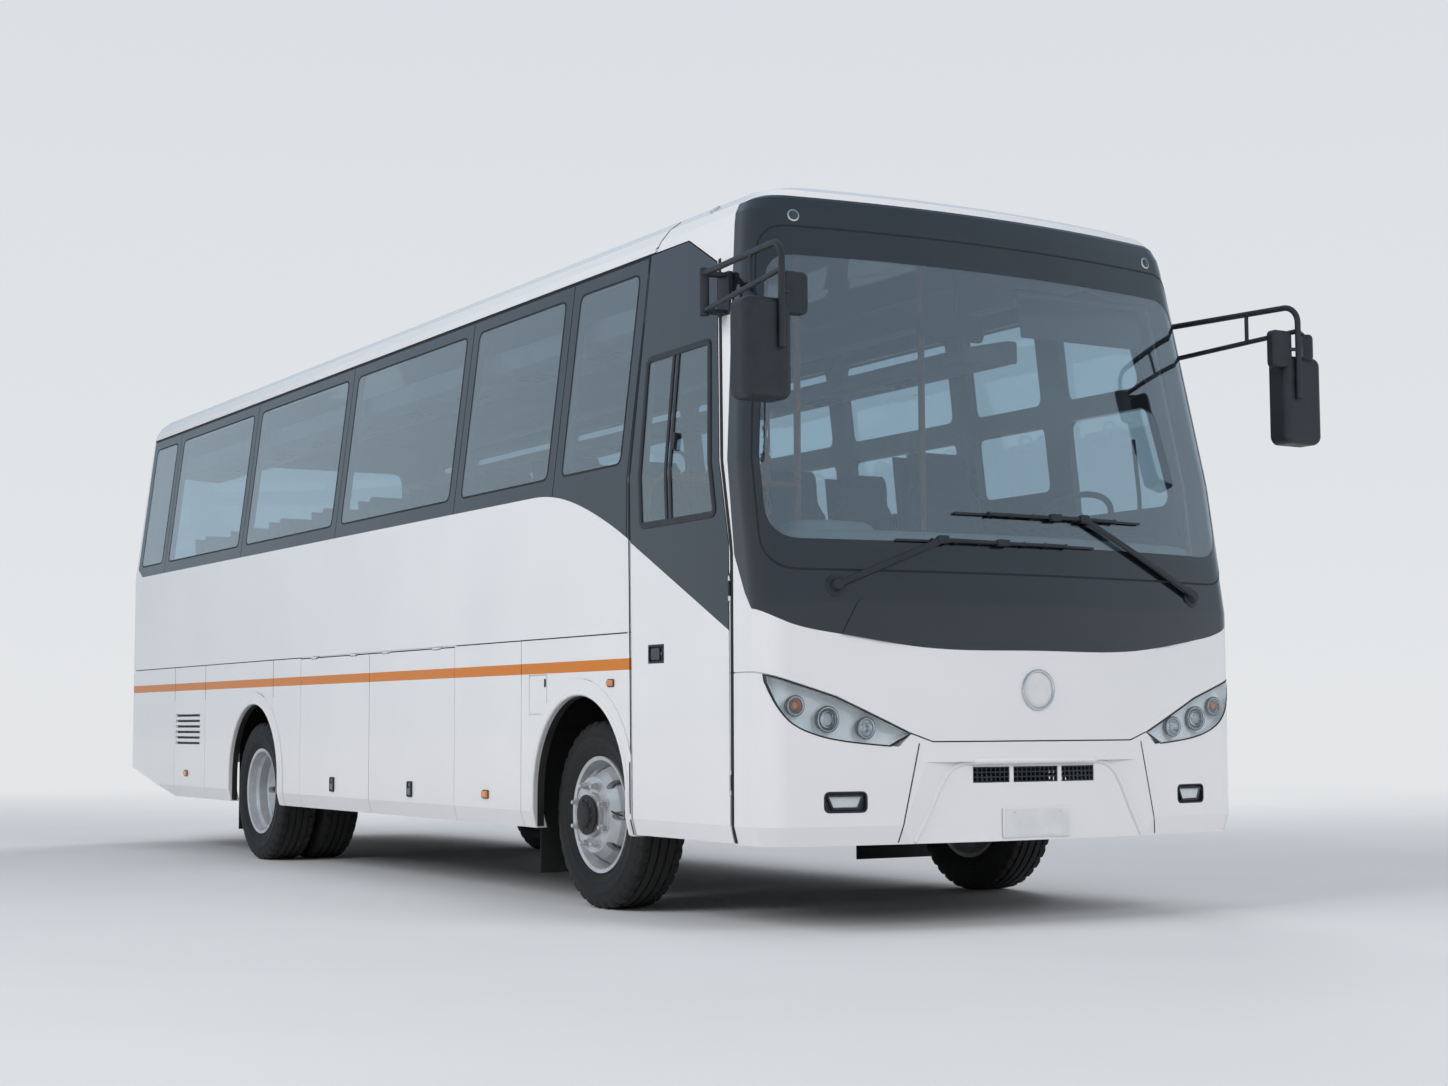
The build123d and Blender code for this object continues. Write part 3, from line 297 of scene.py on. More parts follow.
# Float glass rolls out a little wavy, and its coated face mirrors more than bare glass.
side_glass = glazing("blue_tinted_safety_glass", "#C9D9DF", "#4E5F67", coat_weight=1.0,
                     coat_ior=1.75)
screen_glass = glazing("laminated_windscreen_glass", "#DCE7EB", "#98A7AC", coat_weight=1.0,
                       coat_ior=1.9)
# Moulded polycarbonate: clear as glass, with a stronger glint.
lens_clear = glazing("clear_polycarbonate_lens", "#F2F4F5", "#F2F4F5", 1.58)
# Dyed acrylic: deep colour under a polished face.
lens_amber = finish("amber_acrylic_lens", "#D97A1E", "#C96C14", 30, 3, 0.1, 0.2, 0.03,
                    coat_weight=1.0)
red_acrylic = finish("red_acrylic_lens", "#9E1414", "#8A0F10", 30, 3, 0.1, 0.2, 0.03,
                     coat_weight=1.0)
print("see-through finishes:", [each.name for each in (side_glass, screen_glass, lens_clear)])

# %% [markdown]
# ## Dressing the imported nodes
# Most of the coach's solids have their right shape already. They only need their finish, so one
# table pairs each finish with its nodes.

# %% Finishes of the nodes that stay
locker_doors = [f"{side}_{end}_locker_door" for side in ("left", "right")
                for end in ("front", "rear")]
corners = ("front_left", "front_right", "rear_left", "rear_right")
dressing = {
    white_enamel: ["front_moulding", "front_bumper", "roof", "left_side", "right_side",
                   "rear_moulding", "rear_bumper", "engine_lid", *locker_doors],
    door_enamel: ["passenger_door"],
    dark_enamel: ["left_window_band", "right_window_band"],
    gloss_black: ["front_mask"],
    side_glass: ["side_panes", "passenger_door_pane", "rear_window"],
    screen_glass: ["windscreen"],
    lens_clear: ["front_lamps"],
    red_acrylic: ["tail_lamps"],
    black_abs: ["grille", "wipers", "mirrors", "steering_wheel"],
    dash_plastic: ["dashboard"],
    mirror_silver: ["mirror_glass"],
    chassis_paint: ["chassis_rails", "floor_bearers", "cross_members", "front_axle",
                    "rear_axle", "fuel_tank"],
    cast_iron: ["engine_block", "left_knuckle", "right_knuckle"],
    rim_paint: [f"{corner}_rim{'s' * corner.startswith('rear')}" for corner in corners],
    tyre_rubber: [f"{corner}_tyre{'s' * corner.startswith('rear')}" for corner in corners],
    flap_rubber: ["mudflaps"],
    seat_cloth: ["passenger_seats", "driver_seat"],
    cabin_floor: ["floor", "entrance_steps"],
    rail_coat: ["handrails"],
    seat_steel: ["seat_frames"],
    locker_sheet: ["lockers"],
}
for coat, names in dressing.items():
    for name in names:
        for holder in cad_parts[name].material_slots:
            holder.material = coat
print("nodes with a finish:", sum(map(len, dressing.values())), "of", len(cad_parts))

# %% [markdown]
# ## Floor and light
# The coach stands on a pale floor under three large soft boxes, one high on the door side, one
# ahead and one behind on the far side, with an even world around them. Only light comes from the
# boxes: nothing mirrors them. Rays that look, mirror or pass through glass see the world as a pale
# wall, a little bluer where it is mirrored, and the rays that light the coach see a dimmer one.


# %% Studio
def seen_directly(tree):
    """1 for rays that look, mirror or pass through glass, and 0 for rays that only carry light."""
    looking = add(tree, "LightPath", result="Is Camera Ray")
    for kind in ("Is Glossy Ray", "Is Transmission Ray"):
        other = add(tree, "LightPath", result=kind)
        looking = add(tree, "Math", {0: looking, 1: other}, operation="MAXIMUM")
    return looking


floor_reach = 120
floor_mesh = bpy.data.meshes.new("studio_floor")
floor_mesh.from_pydata([(a * floor_reach, b * floor_reach, 0)
                        for a, b in ((-1, -1), (1, -1), (1, 1), (-1, 1))], [], [(0, 1, 2, 3)])
studio_floor = bpy.data.objects.new("studio_floor", floor_mesh)
scene.collection.objects.link(studio_floor)
# Rolled studio paper: matt and even. Far from the coach it fades into the wall.
pale_floor = finish("pale_studio_floor", "#DDDEE0", "#DADBDD", 1500, 14, 0.2, 0.9, 0.02)
floor_mesh.materials.append(pale_floor)
tree = pale_floor.node_tree
reach = add(tree, "VectorMath", {0: add(tree, "TexCoord", result="Object")}, "Value",
            operation="LENGTH")
fade = add(tree, "MapRange", {"Value": reach, "From Min": 5.0, "From Max": 18.0},
           interpolation_type="SMOOTHSTEP")
fade = add(tree, "Math", {0: fade, 1: seen_directly(tree)}, operation="MULTIPLY")
glow = add(tree, "Emission", {"Color": linear("#E4E6E8"), "Strength": 1.0})
paper = tree.nodes["Principled BSDF"].outputs["BSDF"]
shown = add(tree, "MixShader", {0: fade, 1: paper, 2: glow})
feed(tree.nodes["Material Output"], {"Surface": shown})

world = bpy.data.worlds.new("studio_world")
scene.world = world
world.use_nodes = True
tree = world.node_tree
height = add(tree, "SeparateXYZ", {"Vector": add(tree, "TexCoord", result="Generated")}, "Z")
rise = add(tree, "MapRange", {"Value": height, "From Min": 0.0, "From Max": 0.7})
wall, shine = (add(tree, "Mix", {"Factor": rise, "A": linear(low), "B": linear(high)},
                   data_type="RGBA")
               for low, high in (("#E4E6E8", "#D2D9E0"), ("#C3D2DC", "#9DB4CC")))
mirrored_ray = add(tree, "LightPath", result="Is Glossy Ray")
wall = add(tree, "Mix", {"Factor": mirrored_ray, "A": wall, "B": shine}, data_type="RGBA")
strength = add(tree, "MapRange", {"Value": seen_directly(tree), "To Min": 0.55, "To Max": 1.0})
feed(tree.nodes["Background"], {"Color": wall, "Strength": strength})


def soft_box(name, place, target, size, power):
    """A square area lamp aimed at a point."""
    lamp = bpy.data.lights.new(name, "AREA")
    lamp.shape, lamp.size, lamp.energy = "SQUARE", size, power
    holder = bpy.data.objects.new(name, lamp)
    holder.location = place
    holder.visible_glossy = holder.visible_transmission = holder.visible_camera = False
    holder.rotation_euler = (Vector(target) - Vector(place)).to_track_quat("-Z", "Y").to_euler()
    scene.collection.objects.link(holder)


soft_box("door_side_box", (4, -13, 9), (0, 0, 1.2), 8, 1250)
soft_box("nose_box", (15, 3, 8), (3, 0, 1.2), 7, 750)
soft_box("far_side_box", (-11, 10, 9), (-1, 0, 1.2), 8, 1150)

# %% [markdown]
# ## A maker's bench
# The drawing of the coach counts millimetres from the front axle, the middle plane and the road.
# These helpers keep those numbers: one turns them to scene points, one finds where a straight
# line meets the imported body, and the others add forms to a mesh as a workshop would, by turning,
# cutting plates, running a strip along a line and stretching a sheet over a surface.


# %% Places on the coach
def at(x, y, z):
    """A scene point from millimetres ahead of the front axle, to the left and above the road."""
    return Vector((x / 1000 + front_axle_x, y / 1000, z / 1000))


def search_tree(*names):
    """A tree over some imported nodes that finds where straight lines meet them."""
    points, faces = [], []
    for name in names:
        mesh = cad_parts[name].data
        first = len(points)
        points += [corner.co.copy() for corner in mesh.vertices]
        faces += [[first + index for index in face.vertices] for face in mesh.polygons]
    return BVHTree.FromPolygons(points, faces)


nose_names = ("front_mask", "windscreen", "front_moulding", "front_bumper", "front_lamps")
wall_tree = search_tree("left_side", "right_side", "left_window_band", "right_window_band",
                        "side_panes", "roof", "passenger_door", "passenger_door_pane",
                        *(name for name in nose_names if name != "windscreen"), *locker_doors)
tail_names = ("rear_moulding", "rear_window", "rear_bumper", "engine_lid", "tail_lamps", "roof")
faces_of_coach = {"nose": (search_tree(*nose_names), Vector((-1, 0, 0))),
                  "tail": (search_tree(*tail_names), Vector((1, 0, 0))),
                  "right": (wall_tree, Vector((0, 1, 0))), "left": (wall_tree, Vector((0, -1, 0)))}
line_start = 12
hair = 1.2


def landing(face, first, second):
    """The skin's point and outward direction: (y, z) on the nose or the tail, (x, z) on a side.

    Five lines a hair apart bridge the gaps between panes and panels, and the outermost hit counts.
    """
    tree, way = faces_of_coach[face]
    ends = face in ("nose", "tail")
    hits = []
    for a, b in ((0, 0), (hair, 0), (-hair, 0), (0, hair), (0, -hair)):
        target = at(0, first + a, second + b) if ends else at(first + a, 0, second + b)
        place, normal, _, distance = tree.ray_cast(target - way * line_start, way)
        if place:
            normal = normal if normal.dot(way) < 0 else -normal
            hits.append((round(distance, 5), len(hits), normal))
    distance, _, normal = min(hits)
    origin = at(0, first, second) if ends else at(first, 0, second)
    return origin + way * (distance - line_start), normal


def facing(point, way, up=(0, 0, 1)):
    """A frame in millimetres at a point. Its third axis points a way, its second leans to up."""
    third = Vector(way).normalized()
    first = Vector(up).cross(third).normalized()
    turned = Matrix((first, third.cross(first), third)).transposed().to_4x4()
    return Matrix.Translation(point) @ turned @ Matrix.Scale(0.001, 4)


def on_skin(face, first, second):
    """A frame in millimetres on the skin, with its third axis pointing outwards."""
    return facing(*landing(face, first, second))


def moved(place, x, y, z=0):
    """A frame moved along its own axes."""
    return place @ Matrix.Translation((x, y, z))


def around(place, count, radius, first=0.0):
    """Frames evenly spaced on a circle about a frame's third axis."""
    angles = [2 * math.pi * (k + first) / count for k in range(count)]
    return [moved(place, radius * math.cos(a), radius * math.sin(a)) for a in angles]


print("the nose at headlamp height:", [round(v, 4) for v in landing("nose", 963, 835)[0]])


# %% Outlines and sections
def rounded(points, radius, steps=5):
    """An outline whose corners are rounded, in the same order as its points."""
    smooth = []
    for index, corner in enumerate(points):
        corner = Vector(corner)
        before = Vector(points[index - 1]) - corner
        after = Vector(points[(index + 1) % len(points)]) - corner
        reach = radius / math.tan(before.angle(after) / 2)
        reach = min(reach, before.length / 2, after.length / 2)
        first, last = corner + before.normalized() * reach, corner + after.normalized() * reach
        for t in (step / steps for step in range(steps + 1)):
            smooth.append((1 - t) ** 2 * first + 2 * t * (1 - t) * corner + t ** 2 * last)
    return [tuple(point) for point in smooth]


def oblong(width, height, radius, centre=(0, 0), steps=5):
    """A rectangle with round corners about a centre."""
    corners = [(centre[0] + a * width / 2, centre[1] + b * height / 2)
               for a, b in ((-1, -1), (1, -1), (1, 1), (-1, 1))]
    return rounded(corners, radius, steps)


def flowing(points, steps=6):
    """A smooth line through points, as a bent spring strip would lie."""
    points = [Vector(point) for point in points]
    last = len(points) - 1
    line = []
    for index in range(last):
        p0, p1, p2, p3 = (points[min(max(index + k, 0), last)] for k in (-1, 0, 1, 2))
        for t in (step / steps for step in range(steps)):
            line.append(0.5 * (2 * p1 + (p2 - p0) * t + (2 * p0 - 5 * p1 + 4 * p2 - p3) * t * t
                               + (3 * p1 - p0 - 3 * p2 + p3) * t ** 3))
    return line + [points[-1]]


def mirrored(outline, sign):
    """An outline on the left for 1 and on the right for -1."""
    return [(sign * y, z) for y, z in outline]


def circle(radius, sides=10):
    """A round section for tubes and wires."""
    angles = [2 * math.pi * k / sides for k in range(sides)]
    return [(radius * math.cos(a), radius * math.sin(a)) for a in angles]


def flat(half, low, high):
    """A rectangular strip section: half its width, and its heights off the skin."""
    return [(-half, low), (half, low), (half, high), (-half, high)]


def crowned(half, low, edge, crown, top):
    """A strip section whose sides end at one height and whose narrower crown ends at another."""
    return [(-half, low), (half, low), (half, edge), (crown, top), (-crown, top), (-half, edge)]


print("a bead's section:", crowned(3, -2, 0.6, 1.5, 1.6))


# %% Forms
def turn(bm, profile, place, steps=36):
    """Add a form turned on a lathe: (radius, height) pairs about the frame's third axis."""
    rings = []
    for radius, height in profile:
        angles = [2 * math.pi * k / steps for k in range(steps)] if radius else [0]
        rings.append([bm.verts.new(place @ Vector((radius * math.cos(a), radius * math.sin(a),
                                                   height))) for a in angles])
    for low, high in zip(rings, rings[1:]):
        for k in range(steps):
            bm.faces.new(list(dict.fromkeys((low[k % len(low)], low[(k + 1) % len(low)],
                                             high[(k + 1) % len(high)], high[k % len(high)]))))


def join_rings(bm, rings, closed=False):
    """Add a tube through rings of as many points each, closed on itself or by its two ends."""
    for one, two in list(zip(rings, rings[1:])) + ([(rings[-1], rings[0])] if closed else []):
        for k in range(len(one)):
            n = (k + 1) % len(one)
            bm.faces.new((one[k], one[n], two[n], two[k]))
    if not closed:
        bm.faces.new(rings[0][::-1])
        bm.faces.new(rings[-1])


def stack(bm, outlines, place):
    """Add a closed form through outlines with as many points each, given as (outline, height)."""
    join_rings(bm, [[bm.verts.new(place @ Vector((x, y, height))) for x, y in edge]
                    for edge, height in outlines])


def plate(bm, outline, low, high, place):
    """Add a plate cut to an outline, from one height to another in its frame."""
    stack(bm, [(outline, low), (outline, high)], place)


def strip(bm, path, normals, section, closed=False):
    """Add a strip: a section in (side, up) millimetres run along points, up being the normal."""
    rings = []
    for k, (point, normal) in enumerate(zip(path, normals)):
        before = path[k - 1] if closed or k else point
        after = path[(k + 1) % len(path)] if closed or k + 1 < len(path) else point
        along = (after - before).normalized()
        side = along.cross(normal).normalized()
        upward = side.cross(along)
        rings.append([bm.verts.new(point + side * (a / 1000) + upward * (b / 1000))
                      for a, b in section])
    join_rings(bm, rings, closed)


def bent(bm, points, steps, section, up=(0, 0, 1)):
    """Add a bar or tube along a smooth line through points, and give back the line."""
    line = flowing(points, steps)
    strip(bm, line, [Vector(up)] * len(line), section)
    return line


def sheet_on(bm, outline, step, face, outer=0.0, inner=-3.0):
    """Add a shell over the coach's skin inside an outline, between two heights off the skin."""
    sheet = bmesh.new()
    sheet.faces.new([sheet.verts.new((a, b, 0)) for a, b in outline])
    for axis in (0, 1):
        values = [point[axis] for point in outline]
        cut = min(values) + step
        while cut < max(values) - 1:
            where, way = Vector((0, 0, 0)), Vector((0, 0, 0))
            where[axis], way[axis] = cut, 1
            whole = sheet.verts[:] + sheet.edges[:] + sheet.faces[:]
            bmesh.ops.bisect_plane(sheet, geom=whole, plane_co=where, plane_no=way)
            cut += step
    sheet.verts.index_update()
    spots = [landing(face, corner.co.x, corner.co.y) for corner in sheet.verts]
    top, under = ([bm.verts.new(place + normal * (height / 1000)) for place, normal in spots]
                  for height in (outer, inner))
    for patch in sheet.faces:
        ring = [corner.index for corner in patch.verts]
        bm.faces.new([top[k] for k in ring])
        bm.faces.new([under[k] for k in reversed(ring)])
    for edge in sheet.edges:
        if len(edge.link_faces) == 1:
            a, b = (corner.index for corner in edge.verts)
            bm.faces.new((top[a], top[b], under[b], under[a]))
    sheet.free()


def trace(bm, face, outline, section, closed=True, spacing=25):
    """Add a strip that follows an outline over the skin, on the nose, the tail or a side."""
    points = [Vector(point) for point in outline] + ([Vector(outline[0])] if closed else [])
    line = []
    for one, two in zip(points, points[1:]):
        parts = max(1, round((two - one).length / spacing))
        line += [one + (two - one) * (k / parts) for k in range(parts)]
    line += [] if closed else [points[-1]]
    spots = [landing(face, point.x, point.y) for point in line]
    strip(bm, [place for place, _ in spots], [normal for _, normal in spots], section, closed)


def edging(bm, outline, height, place, section):
    """Add a closed strip along an outline at a height in a frame."""
    path = [place @ Vector((a, b, height)) for a, b in outline]
    upward = (place @ Vector((0, 0, 1)) - place @ Vector((0, 0, 0))).normalized()
    strip(bm, path, [upward] * len(path), section, closed=True)


def piece(bm, name, coat, body="body", bevel=0.0, smooth=40):
    """Turn a mesh into an object that rides on a body, with its finish and its edges broken."""
    bmesh.ops.remove_doubles(bm, verts=bm.verts, dist=2e-6)
    bmesh.ops.recalc_face_normals(bm, faces=bm.faces)
    mesh = bpy.data.meshes.new(name)
    bm.to_mesh(mesh)
    bm.free()
    mesh.shade_smooth()
    mesh.set_sharp_from_angle(angle=math.radians(smooth))
    mesh.materials.append(coat)
    made = bpy.data.objects.new(name, mesh)
    scene.collection.objects.link(made)
    if bevel:
        broken = made.modifiers.new("broken edges", "BEVEL")
        broken.width, broken.segments, broken.limit_method = bevel / 1000, 2, "ANGLE"
        broken.angle_limit = math.radians(40)
    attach(made, body)
    print(name, "on", body, "with", len(mesh.polygons), "faces")
    return made


def blanks(count):
    """Empty meshes to add forms to."""
    return [bmesh.new() for _ in range(count)]


# %% [markdown]
# ## Headlamps
# A headlamp is a chromed bowl behind a clear moulded cover that continues the bumper's surface.
# Its bowl is drawn near-white, a painted reflection of the sky in the chrome.
# In the bowl stand three lamps: an amber indicator outside, a projector in the middle and a plain
# reflector inside. The cover is stretched over the imported skin, so it follows the nose's corner.

# %% Headlamp covers, bowls and lamps
lamp_top = [(616, 779), (938, 925), (1216, 1013)]
lamp_low = [(668, 729), (869, 748), (1007, 774), (1114, 820), (1177, 891), (1213, 985)]
lamp_edge = lamp_top + [tuple(point) for point in reversed(flowing(lamp_low, 4))][:-1]
lamp_middle = Vector((940, 860))
covers, bowls, rims, reflectors, balls, ambers, shrouds = blanks(7)


def shrunk(outline, share, sign):
    """The lamp's outline drawn in towards its middle, on one side of the nose."""
    middle = Vector((sign * lamp_middle.x, lamp_middle.y))
    return [tuple(middle + (Vector(point) - middle) * share) for point in outline]


for sign in (-1, 1):
    outline = mirrored(lamp_edge, sign)[::sign]
    sheet_on(covers, shrunk(outline, 0.992, sign), 40, "nose", -0.5, -3.5)
    tight = shrunk(outline, 0.975, sign)
    sheet_on(bowls, tight, 30, "nose", -40, -42)
    brim = [landing("nose", *point) for point in tight]
    for (one, out_one), (two, out_two) in zip(brim, brim[1:] + brim[:1]):
        bowls.faces.new([bowls.verts.new(corner) for corner in (
            one - out_one * 0.004, two - out_two * 0.004, two - out_two * 0.041,
            one - out_one * 0.041)])
    for y, z, r, kind in ((1096, 891, 36, "amber"), (963, 838, 47, "projector"),
                          (803, 803, 38, "plain")):
        deep = min(landing("nose", sign * (y + reach), z)[0].x for reach in (-r, r * 0.8))
        base = facing(Vector((deep - 0.006, sign * y / 1000, z / 1000)), (1, 0, 0))
        turn(rims, [(r, -30), (r + 3, -3), (r + 1, 0), (r - 3, -1), (r - 5, -8), (r - 9, -30)],
             base)
        turn(shrouds, [(r + 2, -26), (r + 7, -6), (r + 6, -3), (r + 2.4, -4)], base)
        turn(reflectors, [(r - 6, -6), (r * 0.62, -20), (r * 0.34, -29), (0, -33)], base)
        if kind == "amber":
            turn(ambers, [(0, -4), (r * 0.3, -6), (r * 0.46, -13), (r * 0.46, -26), (0, -29)],
                 base)
        elif kind == "projector":
            turn(shrouds, [(r * 0.72, -28), (r * 0.8, -8), (r * 0.74, -5), (r * 0.68, -20)], base)
            turn(rims, [(r * 0.66, -24), (r * 0.7, -7), (r * 0.62, -5), (r * 0.58, -20)], base)
            turn(balls, [(0, -2), (r * 0.3, -4), (r * 0.5, -10), (r * 0.56, -17), (0, -19)], base)
        else:
            turn(balls, [(0, -9), (r * 0.2, -10), (r * 0.3, -16), (r * 0.22, -28), (0, -30)], base)
lamp_covers = piece(covers, "headlamp_covers", lens_clear, smooth=60)
# Near-white bowls: a painted reflection of the sky.
piece(bowls, "headlamp_bowls", painted_reflection_bowl)
piece(shrouds, "headlamp_shrouds", gloss_black)
piece(rims, "headlamp_rims", bright_chrome)
piece(reflectors, "headlamp_reflectors", bright_chrome)
piece(balls, "projector_lenses", lens_clear)
piece(ambers, "front_indicator_bulbs", lens_amber)
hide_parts("front_lamps")

# %% Rubber round the covers, and fog lamps
cover_seals, fog_bezels, fog_bowls, fog_lenses = blanks(4)
small_bead = crowned(3, -2, 0.6, 1.5, 1.6)
fog_mouth = oblong(177, 77, 22, (899.5, 514.5))
fog_glass = rounded([(846, 490), (953, 490), (975, 540), (824, 540)], 8, 3)
for sign in (-1, 1):
    mouth, glass_edge = mirrored(fog_mouth, sign), mirrored(fog_glass, sign)
    trace(cover_seals, "nose", mirrored(lamp_edge, sign), small_bead, spacing=20)
    sheet_on(fog_bezels, mouth, 60, "nose", -16, -22)
    trace(fog_bezels, "nose", mouth,
          [(-4, -14), (4, -14), (4, -1), (1, 0.8), (-3, 0.8), (-4, -1)], spacing=15)
    trace(fog_bezels, "nose", glass_edge, [(-5, -16), (5, -16), (4, -4), (-4, -4)], spacing=12)
    sheet_on(fog_bowls, glass_edge, 14, "nose", -12, -15)
    sheet_on(fog_lenses, glass_edge, 40, "nose", -4, -7)
piece(cover_seals, "headlamp_seals", seal_rubber)
fog_frame = piece(fog_bezels, "fog_lamp_bezels", black_abs)
# Near-white fog lamp bowls: a painted reflection of the sky.
piece(fog_bowls, "fog_lamp_reflectors", painted_reflection_bowl)
piece(fog_lenses, "fog_lamp_lenses", lens_clear)
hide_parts("front_lamps")

# %% [markdown]
# ## Windscreen border
# A bonded windscreen has a black enamel baked round its edge, which hides the glue and shades its
# top. It is a wide strip of constant thickness between two outlines, so it is made as a ladder of
# small faces between them, each corner dropped on the glass.


# %% Baked border and its seal
def ladder(bm, outer_edge, inner_edge, face, high, low, rungs=3, spacing=60):
    """A shell between two outlines with as many points, held between two heights off the skin."""
    outer, inner = ([Vector(point) for point in edge] for edge in (outer_edge, inner_edge))
    grid = []
    for a0, a1, b0, b1 in zip(outer, outer[1:] + outer[:1], inner, inner[1:] + inner[:1]):
        parts = max(1, math.ceil(max((a1 - a0).length, (b1 - b0).length) / spacing))
        for share in (n / parts for n in range(parts)):
            a, b = a0 + (a1 - a0) * share, b0 + (b1 - b0) * share
            spots = [landing(face, *(a + (b - a) * (n / rungs))) for n in range(rungs + 1)]
            top, under = ([bm.verts.new(place + normal * (height / 1000))
                           for place, normal in spots] for height in (high, low))
            grid.append(top + under[::-1])
    join_rings(bm, grid, closed=True)


glass_bottom, glass_waist, glass_top = 1428, 1880, 2850
low_half = 1235 - 26
high_half = low_half - 0.12 * (glass_top - glass_waist)
glass_edge = rounded([(-low_half, glass_bottom), (low_half, glass_bottom), (low_half, glass_waist),
                      (high_half, glass_top), (-high_half, glass_top), (-low_half, glass_waist)],
                     130, 6)
clear_edge = rounded([(-1186, 1550), (1186, 1550), (1186, glass_waist), (high_half - 14, 2728),
                      (14 - high_half, 2728), (-1186, glass_waist)], 130, 6)
border, screen_seal = blanks(2)
ladder(border, glass_edge, clear_edge, "nose", 1.0, 0.2)
trace(screen_seal, "nose", glass_edge, crowned(4, -1.5, 1.4, 1, 2.4), spacing=30)
piece(border, "windscreen_baked_border", gloss_black, smooth=60)
piece(screen_seal, "windscreen_seal", seal_rubber)

# %% [markdown]
# ## Wipers
# Each wiper is a cast head on a pivot, a pressed arm with a hook, a sprung bridge with claws and a
# rubber blade. The arm's line is found from the photograph as heights and widths on the nose. The
# skin under each point gives its depth, so the blade lies on the curved glass along its length.

# %% Two wipers
wiper_steel, wiper_rubber = blanks(2)
blade_section = [(-4, 4), (-4, 0), (-0.8, -1), (-0.8, -4.6), (0.8, -4.6), (0.8, -1), (4, 0),
                 (4, 4)]


def over_glass(bm, first, last, parts, lift, section):
    """Add a strip between two points of the front view, at a height off the nose."""
    spots = [landing("nose", first[0] + (last[0] - first[0]) * k / parts,
                     first[1] + (last[1] - first[1]) * k / parts) for k in range(parts + 1)]
    strip(bm, [place + normal * (lift / 1000) for place, normal in spots],
          [normal for _, normal in spots], section)


for pivot, elbow, left_end, right_end in (((-927, 1365), (-443, 1556), (-653, 1552), (346, 1552)),
                                          ((941, 1365), (300, 1672), (-368, 1672), (650, 1672))):
    turn(wiper_steel, [(0, -4), (46, -4), (46, 2), (40, 5), (27, 5), (26, 8), (24, 24), (20, 30),
                       (0, 32)], on_skin("nose", *pivot), 28)
    middle, z = (left_end[0] + right_end[0]) / 2, left_end[1]
    over_glass(wiper_steel, pivot, elbow, 8, 24,
               [(-13, -7), (13, -7), (14, 0), (8, 7), (-8, 7), (-14, 0)])
    over_glass(wiper_steel, elbow, (middle, z), 8, 26, flat(6, -4, 4))
    plate(wiper_steel, oblong(54, 32, 10), 14, 34, on_skin("nose", *elbow))
    plate(wiper_steel, oblong(64, 26, 8), 12, 34, on_skin("nose", middle, z))
    for reach in ((right_end[0] - left_end[0]) / 4, (left_end[0] - right_end[0]) / 4):
        over_glass(wiper_steel, (middle + reach * 0.1, z), (middle + reach * 1.35, z), 6, 24,
                   [(-7, -3), (7, -3), (5, 3), (-5, 3)])
        for claw in (0.45, 0.9, 1.35):
            plate(wiper_steel, oblong(9, 20, 3), 8, 24, on_skin("nose", middle + reach * claw, z))
    over_glass(wiper_steel, left_end, right_end, 24, 11, flat(5, -2, 2))
    over_glass(wiper_rubber, left_end, right_end, 24, 6, blade_section)
wiper_arms = piece(wiper_steel, "wiper_arms", black_abs, bevel=1.2)
piece(wiper_rubber, "wiper_blades", seal_rubber)
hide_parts("wipers")

# %% [markdown]
# ## Badge place, plate and marker lamps
# The badge place keeps a plain chromed ring round a pale disc, and the plate stays blank. The
# marker lamps of the cap are small lenses in chromed rings.

# %% Small fittings of the nose
ring, disc, plate_frame, plates, screws = blanks(5)
badge = on_skin("nose", 0, 956)
turn(ring, [(72, 0), (72, 5), (75, 9), (80, 9.5), (84, 7), (85, 0)], badge, 64)
turn(disc, [(0, 4.5), (50, 4), (71, 1.5), (73, 0.2)], badge, 48)
plate_at = facing(landing("nose", 0, 419)[0], (1, 0, 0))
plate(plate_frame, oblong(352, 122, 10), -1, 6, plate_at)
plate(plates, oblong(334, 108, 8), 6, 8, plate_at)
for x in (-120, 120):
    turn(screws, [(0, 9.6), (2.6, 9.4), (4, 8.4), (4.2, 7.5)], moved(plate_at, x, 40), 12)
piece(ring, "badge_ring", bright_chrome, smooth=60)
piece(disc, "badge_place", plate_metal, smooth=60)
piece(plate_frame, "front_plate_frame", white_enamel, bevel=1.5)
piece(plates, "front_plate_blank", plate_metal, bevel=0.6)
piece(screws, "front_plate_screws", rim_paint)

marker_rings, marker_lenses = blanks(2)
for face, first, second in (("nose", -947, 2895), ("nose", 947, 2895), ("right", 909, 2992),
                            ("left", 909, 2992)):
    lamp = on_skin(face, first, second)
    turn(marker_rings, [(26, -1), (27, 2), (25, 5), (20, 6), (19, 3)], lamp, 28)
    turn(marker_lenses, [(0, 11), (9, 9.6), (16, 6.2), (19, 2)], lamp, 28)
piece(marker_rings, "roof_marker_rings", bright_chrome, smooth=60)
piece(marker_lenses, "roof_marker_lenses", lens_clear, smooth=60)

# %% [markdown]
# ## Tyres
# A coach tyre is moulded rubber: ribs with grooves round the tread, lugs cut into its shoulders,
# and thin rings on the side walls where the mould's halves met. All of it is one section carried
# round the axle, so the mesh is a grid of angles by section points, and every few angles the
# shoulder points sink to cut a notch.

# %% Six tyres
wheel_z = 419
half_section = [
    (255, 88), (262, 97), (272, 104), (286, 112), (300, 117), (303, 119.5), (309, 119.8),
    (312, 118.5), (328, 122), (340, 122.6), (343, 124), (349, 124), (352, 122), (372, 118.5),
    (388, 114), (397, 111.5), (412, 104), (417.5, 96), (418.6, 80), (418.8, 67), (409, 65),
    (409, 57), (419, 55), (419, 27), (409, 25), (409, 17), (419, 15)]
tyre_section = half_section + [(radius, -width) for radius, width in reversed(half_section)]
tyre_steps, notch_every, notch_length, notch_depth = 216, 6, 2, 9


